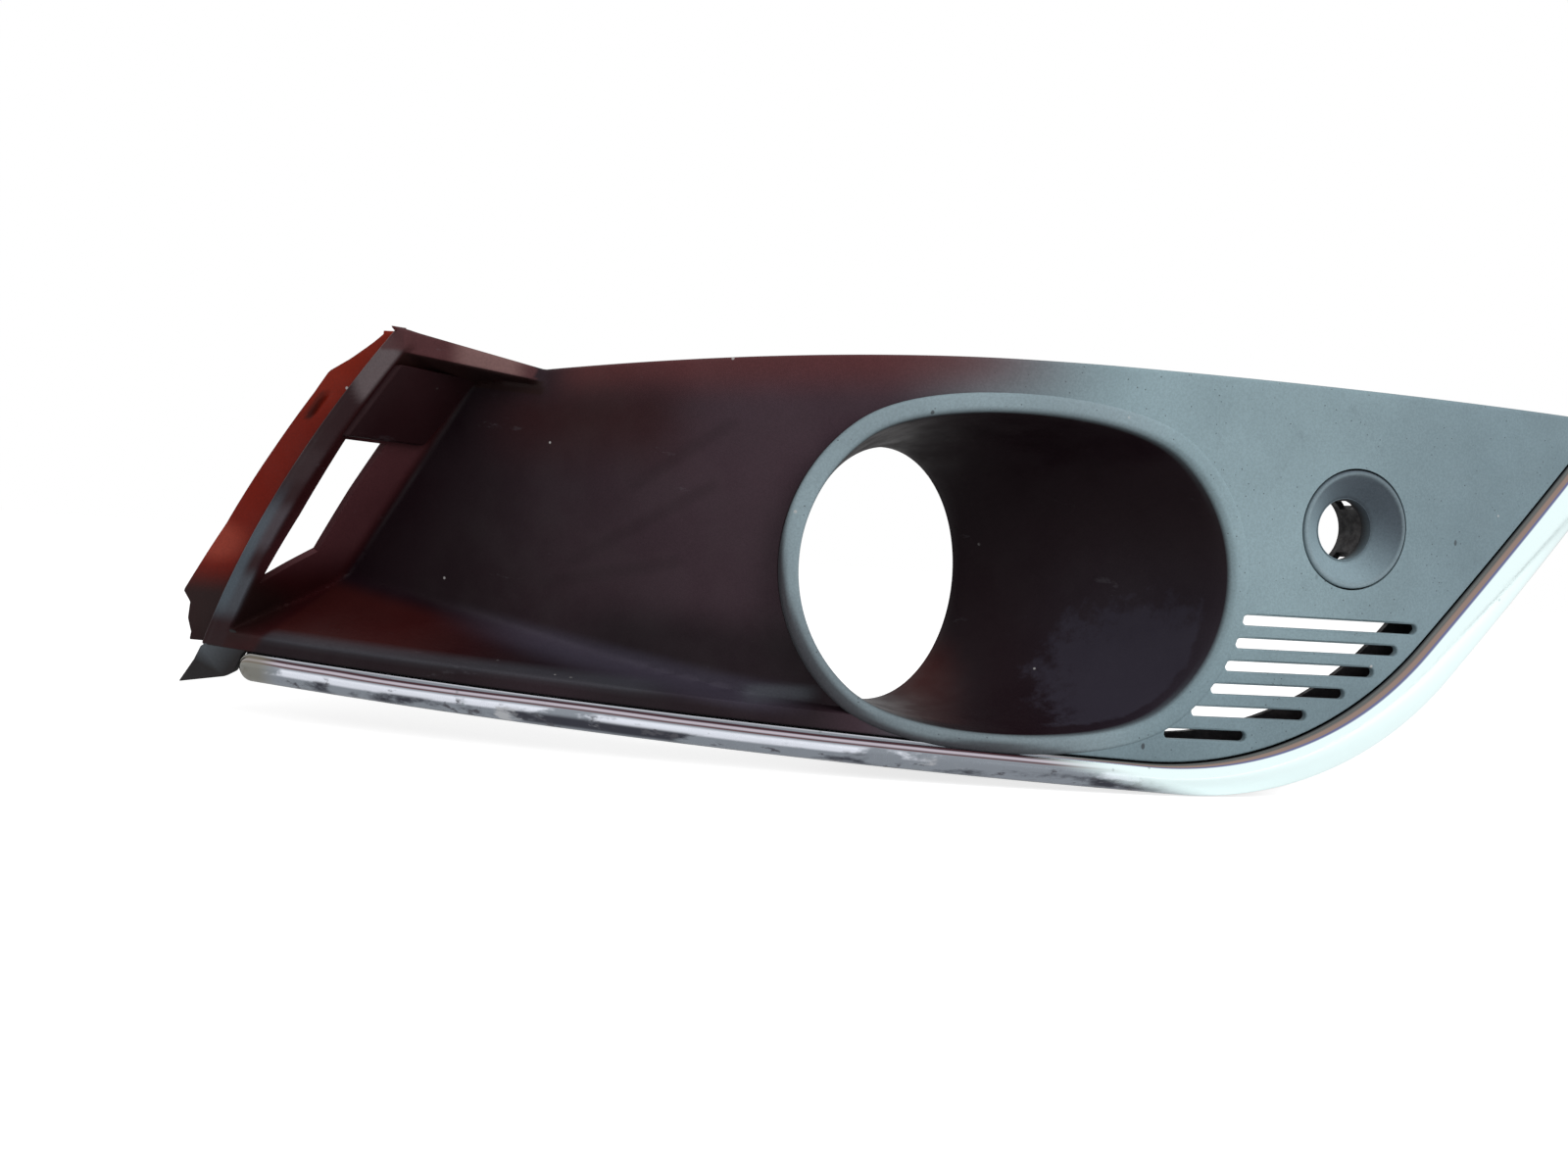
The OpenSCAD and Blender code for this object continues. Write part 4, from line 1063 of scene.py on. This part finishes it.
# Painted reflection: a brighter orange patch low on the flange, and more orange higher up.
bright_reflection_patch = 1 - step(np.hypot((x + 262) * 0.6, z + 4), 3, 10)
tone = over(tone, hue(136, 58, 46), 0.75 * on_flange * bright_reflection_patch)
tone = over(tone, hue(112, 30, 14), 0.6 * on_flange * step(z, 34, 60))
mark_line = z - low - 3.2 - 0.1 * (x + 62)
mark = (1 - step(np.abs(mark_line), 0.8, 3.6)) * (1 - step(np.abs(x + 60), 7, 15))
tone = over(tone, hue(78, 82, 88), 0.55 * mark * (x < -30))
pale = np.clip(pale + 0.3 * rim_outer_highlight, 0, 1)
keep_paint(front_skin, tone, pale, 0)
print("painted", len(x), "points, mean fading", round(float(pale.mean()), 2))

# %% [markdown]
# The bowl is dark inside, partly as painted shade, and pale on its lip, partly as a painted sheen.
# Its low right side holds a film of dust, and its low left side a faint painted reddish reflection.
# The lip's inner ridge is shaded where it turns away, and its low left side gets a painted highlight.

# %% Fading of the bowl
p = drawn(bowl)
x, y, z = p.T
inside = np.hypot(np.clip(np.abs(x - bowl_x) - bowl_run / 2, 0, None), z - bowl_z)
behind = y - face_y(x)
on_lip = 1 - step(behind, 0.0, 1.8)
low_right = step(x, 20, 70) * (1 - step(z, -30, 30))
# Dark inside, partly painted shade; dust on the low right side.
tone = over(np.tile(hue(22, 11, 16), (len(x), 1)), hue(36, 31, 39), low_right * 0.8)
# Painted reflection: a faint reddish warmth low on the left, deep in the bowl.
tone = over(tone, hue(56, 20, 18), 0.7 * (1 - step(np.hypot(x + 8, z + 34), 4, 22)) * step(behind, 6, 14))
# The pale lip is partly a painted sheen of the sky.
tone = over(tone, lip_grey, on_lip)
tone = over(tone, pale_grey, on_lip * step(x, 40, 70))
tone = over(tone, hue(96, 112, 119), 0.7 * on_lip * step(x, 40, 80) * (1 - step(z, -46, 4)))
lit_low_side = (1 - step(z, -26, 14)) * (1 - step(x, 10, 62))
ridge_end = bowl_r + mix(4.4, 1.6, lit_low_side)
shade = step(inside, ridge_end, ridge_end + 2.4) * (1 - step(x, 0, 66)) * (1 - step(z, 0, 26))
tone = over(tone, hue(40, 37, 41), 0.9 * on_lip * shade)
# Painted highlight on the lip's low left side.
tone = over(tone, hue(92, 100, 105), 0.6 * on_lip * lit_low_side)
tone = over(tone, hue(40, 37, 41), 0.75 * on_lip * shade)
dust = np.clip(1.25 - np.hypot((x - 76) / 52, (z + 36) / 42), 0, 1) * step(behind, 2, 10)
keep_paint(bowl, tone, on_lip, dust)
print("painted bowl", len(x), "points")

# %% [markdown]
# The pieces behind the face and the small blocks hardly fade, so one colour each does, except a
# painted highlight along the foot's upper edge. The slots' edges take the panel's colour, painted
# sheen included. The ring gets a painted highlight towards its lower left and along its rolled
# edge, and its tube is painted dark as shade.

# %% Plain paint for the other pieces
def paint_plain(piece, colour, pale=0.0):
    tone = np.tile(colour, (len(piece.data.vertices), 1))
    keep_paint(piece, tone, pale, 0)


paint_plain(pad, hue(32, 13, 16), 0.05)
p = drawn(foot)
# Painted highlight along the foot's upper edge, where it meets the rim.
foot_edge_highlight = near_line(p[:, 0], p[:, 2], ((-262, -43), (-250, -40)), 4)
tone = over(np.tile(hue(33, 31, 32), (len(p), 1)), hue(84, 90, 96), 0.8 * foot_edge_highlight)
keep_paint(foot, tone, 0.1, 0)
for piece in [trim_seat, sensor_cup] + bosses + ribs:
    paint_plain(piece, hue(44, 45, 48))
p = drawn(slot_edge)
tone = panel_tone(p[:, 0], p[:, 2], np.tile(pale_grey, (len(p), 1)), np.ones(len(p)))
keep_paint(slot_edge, tone, 1.0, 0)
p = drawn(sensor_ring)
x, y, z = p.T
inner = np.hypot(x - sensor_at[0], z - sensor_at[1])
# Painted highlight: the ring is paler towards its lower left, where light falls on its cone.
lit_low_side = step(-(x - sensor_at[0]) * 0.5 - (z - sensor_at[1]) * 0.85, -14, 14)
tone = over(np.tile(hue(70, 79, 87), (len(x), 1)), hue(114, 131, 138), lit_low_side)
# Painted highlight along the rolled edge.
tone = over(tone, hue(110, 124, 130), 0.6 * (1 - step(np.abs(inner - ring_r + 1.2), 0.3, 1.0)))
# Painted shade: the tube behind the cone is painted near black.
tone = over(tone, hue(14, 9, 11), step(y - face_y(x), sensor_depth - 0.1, sensor_depth + 0.8))
keep_paint(sensor_ring, tone, 0.5, 0)
print("painted the rest")

# %% [markdown]
# A finish is a Principled shader with a few nodes before it. These helpers keep the cells that
# follow short: each adds one node and returns the socket to plug in next. All patterns read
# Object coordinates, so they stay on the surface whichever way it is seen.

# %% Node helpers
def new_finish(name, roughness, metallic=0.0, specular=0.3):
    finish = bpy.data.materials.new(name)
    finish.use_nodes = True
    shader = finish.node_tree.nodes["Principled BSDF"]
    shader.inputs["Roughness"].default_value = roughness
    shader.inputs["Metallic"].default_value = metallic
    shader.inputs["Specular IOR Level"].default_value = specular
    return finish, shader


def put(finish, kind, **settings):
    node = finish.node_tree.nodes.new(kind)
    for key, value in settings.items():
        setattr(node, key, value)
    return node


def plug(finish, value, socket):
    if isinstance(value, bpy.types.NodeSocket):
        finish.node_tree.links.new(value, socket)
    elif hasattr(value, "__len__") and len(value) == 3 and socket.type == "RGBA":
        socket.default_value = (*value, 1)
    else:
        socket.default_value = value


def place(finish, stretch=(1, 1, 1)):
    where = put(finish, "ShaderNodeTexCoord").outputs["Object"]
    mapping = put(finish, "ShaderNodeMapping")
    mapping.inputs["Scale"].default_value = stretch
    plug(finish, where, mapping.inputs["Vector"])
    return mapping.outputs["Vector"]


def noise(finish, scale, detail=3.0, rough=0.55, stretch=(1, 1, 1)):
    node = put(finish, "ShaderNodeTexNoise")
    plug(finish, place(finish, stretch), node.inputs["Vector"])
    node.inputs["Scale"].default_value = scale
    node.inputs["Detail"].default_value = detail
    node.inputs["Roughness"].default_value = rough
    return node.outputs["Fac"]


def specks(finish, scale, size, stretch=(1, 1, 1)):
    """One inside small spots scattered at a scale, nothing between them."""
    node = put(finish, "ShaderNodeTexVoronoi")
    plug(finish, place(finish, stretch), node.inputs["Vector"])
    node.inputs["Scale"].default_value = scale
    return ramp(finish, node.outputs["Distance"], size, size * 0.6)


def ramp(finish, value, low, high, to_low=0.0, to_high=1.0):
    node = put(finish, "ShaderNodeMapRange", interpolation_type="SMOOTHSTEP")
    keys = ("Value", "From Min", "From Max", "To Min", "To Max")
    for key, setting in zip(keys, (value, low, high, to_low, to_high)):
        plug(finish, setting, node.inputs[key])
    return node.outputs["Result"]


def sums(finish, kind, a, b):
    node = put(finish, "ShaderNodeMath", operation=kind)
    plug(finish, a, node.inputs[0])
    plug(finish, b, node.inputs[1])
    return node.outputs[0]


def times(finish, a, b):
    return sums(finish, "MULTIPLY", a, b)


def blend(finish, amount, a, b, kind="MIX"):
    node = put(finish, "ShaderNodeMix", data_type="RGBA", blend_type=kind)
    plug(finish, amount, node.inputs[0])
    plug(finish, a, node.inputs[6])
    plug(finish, b, node.inputs[7])
    return node.outputs[2]


def shade_by(finish, colour, value):
    """Multiplies a colour's three channels by one value."""
    grey = put(finish, "ShaderNodeCombineColor")
    for channel in grey.inputs:
        plug(finish, value, channel)
    return blend(finish, 1.0, colour, grey.outputs[0], "MULTIPLY")


def kept(finish, name, output="Fac"):
    return put(finish, "ShaderNodeAttribute", attribute_name=name).outputs[output]


def raise_bumps(finish, shader, height, strength, distance):
    node = put(finish, "ShaderNodeBump")
    node.inputs["Strength"].default_value = strength
    node.inputs["Distance"].default_value = distance
    plug(finish, height, node.inputs["Height"])
    plug(finish, node.outputs["Normal"], shader.inputs["Normal"])


print("node helpers ready")

# %% [markdown]
# Old black plastic isn't evenly grey. Clouds and a fine mottle change the tone slightly, then
# come dust, grime, dark spots, pale chips and scuffs. Each is a mask times a strength, laid
# over the colour before it. Roughness and grain vary too, so highlights break up.

# %% Weathered plastic
plastic, shader = new_finish("weathered_plastic", 0.55, specular=0.16)
tone = kept(plastic, "tone", "Color")
pale = kept(plastic, "pale")
dust = kept(plastic, "dust")
cloud = ramp(plastic, noise(plastic, 22, 4), 0.3, 0.7, 0.92, 1.08)
mottle = ramp(plastic, noise(plastic, 1300, 2), 0.3, 0.7, 0.93, 1.07)
colour = shade_by(plastic, tone, times(plastic, cloud, mottle))
ragged = times(plastic, sums(plastic, "SUBTRACT", noise(plastic, 150, 5, 0.65), 0.5), 0.9)
dusty = ramp(plastic, sums(plastic, "ADD", dust, ragged), 0.36, 0.62)
colour = blend(plastic, times(plastic, dusty, 0.68), colour, dust_blue)
grime = times(plastic, ramp(plastic, noise(plastic, 95, 5, 0.7), 0.60, 0.72), ramp(plastic, pale, 0.1, 0.6))
colour = blend(plastic, times(plastic, grime, 0.14), colour, hue(64, 72, 78))
small_spots = times(plastic, specks(plastic, 420, 0.12), ramp(plastic, noise(plastic, 70, 2), 0.46, 0.54))
big_spots = specks(plastic, 90, 0.07, (1, 1, 0.6))
big_spots = times(plastic, big_spots, ramp(plastic, noise(plastic, 34, 1), 0.50, 0.56))
dark_spots = times(plastic, sums(plastic, "MAXIMUM", small_spots, big_spots), pale)
colour = blend(plastic, times(plastic, dark_spots, 0.75), colour, hue(44, 42, 44))
chips = times(plastic, specks(plastic, 75, 0.055), ramp(plastic, noise(plastic, 30, 1), 0.5, 0.56))
colour = blend(plastic, times(plastic, chips, 0.8), colour, hue(168, 166, 165))
rubbed = ramp(plastic, noise(plastic, 40, 6, 0.75, (0.5, 1, 2.2)), 0.64, 0.70)
scuffs = times(plastic, rubbed, sums(plastic, "SUBTRACT", 1.0, pale))
colour = blend(plastic, times(plastic, scuffs, 0.10), colour, hue(110, 108, 114))
plug(plastic, colour, shader.inputs["Base Color"])
rough = ramp(plastic, noise(plastic, 55, 4), 0.3, 0.7, 0.46, 0.68)
plug(plastic, sums(plastic, "ADD", rough, times(plastic, dusty, 0.15)), shader.inputs["Roughness"])
grain = sums(plastic, "ADD", noise(plastic, 2600, 2), times(plastic, noise(plastic, 420, 3), 0.5))
raise_bumps(plastic, shader, grain, 0.35, 0.00012)
print("weathered plastic has", len(plastic.node_tree.nodes), "nodes")

# %% [markdown]
# The trim is bright plating, so its colour is nearly all reflection, and much of that reflection is
# painted into its base colour. Along the foot it has dark streaks and dull patches, partly dirt and
# partly painted reflection, and a painted brown reflection where it meets the moulding; the bend
# and the side are clean, with bright painted reflected bands. Two attributes say how far across and
# how far along the strip each point lies.

# %% Places across and along the trim
tree = KDTree(strip.shape[0] * strip.shape[1])
for i, point in enumerate(to_part(strip.reshape(-1, 3))):
    tree.insert(point, i)
tree.balance()
nearest = np.array([tree.find(vertex.co)[1] for vertex in trim.data.vertices])
row, station = np.divmod(nearest, strip.shape[1])
across = np.array([w for w, _ in crown])[::-1][row]
along = np.clip((station - (len(stations) - len(inner_line))) / len(inner_line), 0, 1)
for name, values in (("across", across), ("along", along)):
    made = trim.data.attributes.new(name, "FLOAT", "POINT")
    made.data.foreach_set("value", values.astype(float))
print("trim has", len(nearest), "points, the last at", round(float(along.max()), 2))

# %% [markdown]
# The foot of the strip has dark and light bands along it, which are painted reflections, and
# patches that are partly dirt and partly painted reflection; the bend and the side are clean and
# bright with painted reflected bands. So there are two colours with one change between them, and
# each is built up by bands across the strip. A little noise makes the bands wander.

# %% Bright plating
chrome, shader = new_finish("bright_plating", 0.14, metallic=1.0, specular=0.5)
across = kept(chrome, "across")
along = kept(chrome, "along")
clean_reflecting_side = ramp(chrome, sums(chrome, "ADD", along, times(chrome, across, -0.06)), 0.44, 0.50)
drift = sums(chrome, "SUBTRACT", noise(chrome, 40, 3, 0.5, (0.2, 1, 1)), 0.5)
wander = sums(chrome, "ADD", across, times(chrome, drift, 0.12))


def band(start, end, soft=0.02):
    rise = ramp(chrome, wander, start - soft, start + soft)
    return times(chrome, rise, ramp(chrome, wander, end - soft, end + soft, 1.0, 0.0))


def patches(scale, low, high, stretch):
    return ramp(chrome, noise(chrome, scale, 6, 0.62, stretch), low, high)


# Painted reflections: the foot's colour across the strip and its three bands stand for mirrored
# surroundings.
foot_colour = blend(chrome, ramp(chrome, across, 0.0, 0.09), hue(196, 198, 206), hue(136, 142, 150))
for start, end, colour in ((0.10, 0.17, hue(70, 44, 50)), (0.18, 0.25, hue(190, 180, 190)),
        (0.27, 0.31, hue(98, 62, 64))):
    foot_colour = blend(chrome, band(start, end), foot_colour, colour)
# Along the foot, the near white streak is a painted reflection and the darker ones are partly dirt and
# partly painted reflection.
foot_streaks_and_reflections = (((0.36, 0.60, 0.05), (34, 0.42, 0.48, (0.45, 1, 1)), hue(226, 230, 240)),
    ((0.58, 0.92, 0.08), (75, 0.46, 0.56, (0.3, 1, 1)), hue(62, 63, 71)),
    ((0.46, 1.1, 0.10), (230, 0.56, 0.64, (0.5, 1, 1)), hue(84, 84, 90)),
    ((0.5, 1.1, 0.10), (120, 0.60, 0.68, (0.35, 1, 1)), hue(176, 178, 182)))
for at, pattern, colour in foot_streaks_and_reflections:
    foot_colour = blend(chrome, times(chrome, band(*at), patches(*pattern)), foot_colour, colour)
inner_share = sums(chrome, "DIVIDE", across, ramp(chrome, along, 0.46, 0.68, 0.42, 1.0))
# Painted reflections: the side's bands, from grey through copper and lavender to near white, are mirrored
# surroundings and sky.
side_colour = hue(56, 58, 60)
for start, end, colour in ((0.01, 0.04, hue(98, 101, 100)), (0.085, 0.13, hue(148, 128, 119)),
        (0.18, 0.20, hue(108, 112, 150)), (0.22, 0.255, hue(238, 255, 255))):
    side_colour = blend(chrome, ramp(chrome, inner_share, start, end), side_colour, colour)
colour = blend(chrome, clean_reflecting_side, foot_colour, side_colour)
tip_end = ramp(chrome, along, 0.004, 0.02, 1.0, 0.0)
colour = blend(chrome, times(chrome, tip_end, 0.7), colour, hue(122, 118, 104))
spots = times(chrome, specks(chrome, 160, 0.11), ramp(chrome, noise(chrome, 40, 2), 0.5, 0.58))
colour = blend(chrome, times(chrome, spots, 0.45), colour, hue(110, 120, 120))
plug(chrome, colour, shader.inputs["Base Color"])
dull_most = ramp(chrome, clean_reflecting_side, 0, 1, 0.25, 0.06)
dull = times(chrome, ramp(chrome, noise(chrome, 85, 5, 0.65), 0.45, 0.65), dull_most)
plug(chrome, sums(chrome, "ADD", dull, 0.10), shader.inputs["Roughness"])
raise_bumps(chrome, shader, noise(chrome, 300, 3), 0.06, 0.0002)
print("bright plating has", len(chrome.node_tree.nodes), "nodes")

# %% [markdown]
# The fixings behind the face are plated spring steel, turned brass and black rubber. They share
# one recipe: a base colour that clouds towards a second one, fine scratches in the roughness
# and a slight bump. Only the colours, the scale and the gloss differ.

# %% Finishes of the fixings
def fixing_finish(name, colour, worn, scale, roughness, metallic=1.0, bump=0.1, stretch=(1, 1, 1)):
    finish, shader = new_finish(name, roughness, metallic)
    patches = ramp(finish, noise(finish, scale, 4, 0.65), 0.42, 0.66)
    colours = blend(finish, patches, colour, worn)
    fine = ramp(finish, noise(finish, scale * 14, 2, 0.6, stretch), 0.3, 0.7, 0.88, 1.12)
    plug(finish, shade_by(finish, colours, fine), shader.inputs["Base Color"])
    worn_rough = noise(finish, scale * 5, 4, 0.6, stretch)
    rough = ramp(finish, worn_rough, 0.3, 0.7, roughness * 0.75, roughness * 1.3)
    plug(finish, rough, shader.inputs["Roughness"])
    raise_bumps(finish, shader, noise(finish, scale * 9, 3, 0.6, stretch), bump, 0.0002)
    return finish


finishes = {
    "spring_steel": fixing_finish("plated_spring_steel", hue(150, 152, 156), hue(104, 96, 84), 120, 0.34,
        stretch=(1, 1, 4)),
    "screw_steel": fixing_finish("plated_screw", hue(160, 160, 162), hue(112, 104, 90), 160, 0.30),
    "insert_brass": fixing_finish("turned_brass", hue(196, 160, 90), hue(140, 104, 58), 150, 0.32,
        stretch=(3, 1, 3)),
    "seal": fixing_finish("backing_rubber", hue(36, 34, 36), hue(52, 47, 48), 70, 0.72, 0.0, 0.3),
    "holder": fixing_finish("holder_plastic", hue(34, 33, 35), hue(50, 46, 47), 90, 0.58, 0.0, 0.25),
    "moulding": plastic, "ring": plastic, "bright_trim": chrome}
print("finishes", sorted(finishes))

# %% [markdown]
# New pieces ride on the body root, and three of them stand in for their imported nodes. The
# other nodes stay as they are and only get a finish, by the slot that the record gives them.

# %% Give every piece its finish
def dress(piece, slot):
    piece.data.materials.clear()
    piece.data.materials.append(finishes[slot])


moulded = [front_skin, slot_edge, bowl, pad, foot, trim_seat, sensor_cup] + bosses + ribs
for piece in moulded:
    dress(piece, "moulding")
    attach(piece, "root")
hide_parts("bezel")
for piece, slot, node in ((trim, "bright_trim", "trim"), (sensor_ring, "ring", "sensor_ring")):
    dress(piece, slot)
    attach(piece, "root")
    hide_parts(node)
slots = {row["node"]: row["material_slot"] for row in frame["record"]["subparts"]}
rear_plastic = fixing_finish("rear_plastic", hue(46, 47, 50), hue(60, 58, 60), 80, 0.6, 0.0, 0.25)
for name, node in frame["nodes"].items():
    if name not in ("bezel", "trim", "sensor_ring"):
        finish = rear_plastic if slots[name] == "moulding" else finishes[slots[name]]
        node.data.materials.clear()
        node.data.materials.append(finish)
print("dressed", len(moulded) + 2, "new pieces and", len(frame["nodes"]) - 3, "nodes")

# %% [markdown]
# The bezel stands on a pale floor under soft light. One broad lamp in front, above and to the
# right acts as an open sky, so the inner panel is bright and the scoop, which faces away from
# it, falls into shade. The world fills the shadows, and shows as plain white to the camera and
# in reflections.

# %% Floor
bpy.ops.mesh.primitive_plane_add(size=6)
floor = bpy.context.object
floor.name = "floor"
for vertex in floor.data.vertices:
    vertex.co.z = cad_box[0][2] - 0.0006
floor_finish = bpy.data.materials.new("pale_floor")
floor_finish.use_nodes = True
matt = floor_finish.node_tree.nodes["Principled BSDF"]
matt.inputs["Base Color"].default_value = (0.62, 0.62, 0.62, 1)
matt.inputs["Roughness"].default_value = 0.9
matt.inputs["Specular IOR Level"].default_value = 0.0
seen = put(floor_finish, "ShaderNodeLightPath")
camera_glow = times(floor_finish, seen.outputs["Is Camera Ray"], 0.76)
mirror_glow = times(floor_finish, seen.outputs["Is Glossy Ray"], 0.34)
glow = sums(floor_finish, "ADD", camera_glow, mirror_glow)
plug(floor_finish, (1, 1, 1), matt.inputs["Emission Color"])
plug(floor_finish, glow, matt.inputs["Emission Strength"])
floor.data.materials.append(floor_finish)
print("floor at", round(cad_box[0][2] * 1000, 1), "mm")

# %% [markdown]
# The lamps are large and soft. They don't show in reflections, because a bright disc in the
# plating would hide its streaks, and what is mirrored is the pale world and floor instead.

# %% World and lamps
world = bpy.data.worlds.new("studio")
bpy.context.scene.world = world
world.use_nodes = True
background = world.node_tree.nodes["Background"]
background.inputs["Color"].default_value = (1, 1, 1, 1)
paths = put(world, "ShaderNodeLightPath")
mirrored = sums(world, "MAXIMUM", paths.outputs["Is Glossy Ray"], paths.outputs["Is Transmission Ray"])
shown = sums(world, "MAXIMUM", paths.outputs["Is Camera Ray"], mirrored)
fill = 0.42
strength = sums(world, "ADD", times(world, shown, 1.0 - fill), fill)
plug(world, strength, background.inputs["Strength"])


def soft_lamp(name, at, aim, size, power):
    bpy.ops.object.light_add(type="AREA", location=at)
    lamp = bpy.context.object
    lamp.name = name
    lamp.data.shape = "DISK"
    lamp.data.size = size
    lamp.data.energy = power
    lamp.visible_glossy = False
    lamp.rotation_euler = (Vector(aim) - Vector(at)).to_track_quat("-Z", "Y").to_euler()
    return lamp


soft_lamp("sky", (0.9, -1.1, 0.9), (0.1, 0, 0), 1.2, 26)
soft_lamp("fill", (-0.9, -1.2, 0.5), (-0.1, 0, 0), 1.0, 5)
bpy.context.scene.view_settings.view_transform = "Standard"
print("lamps and world ready")
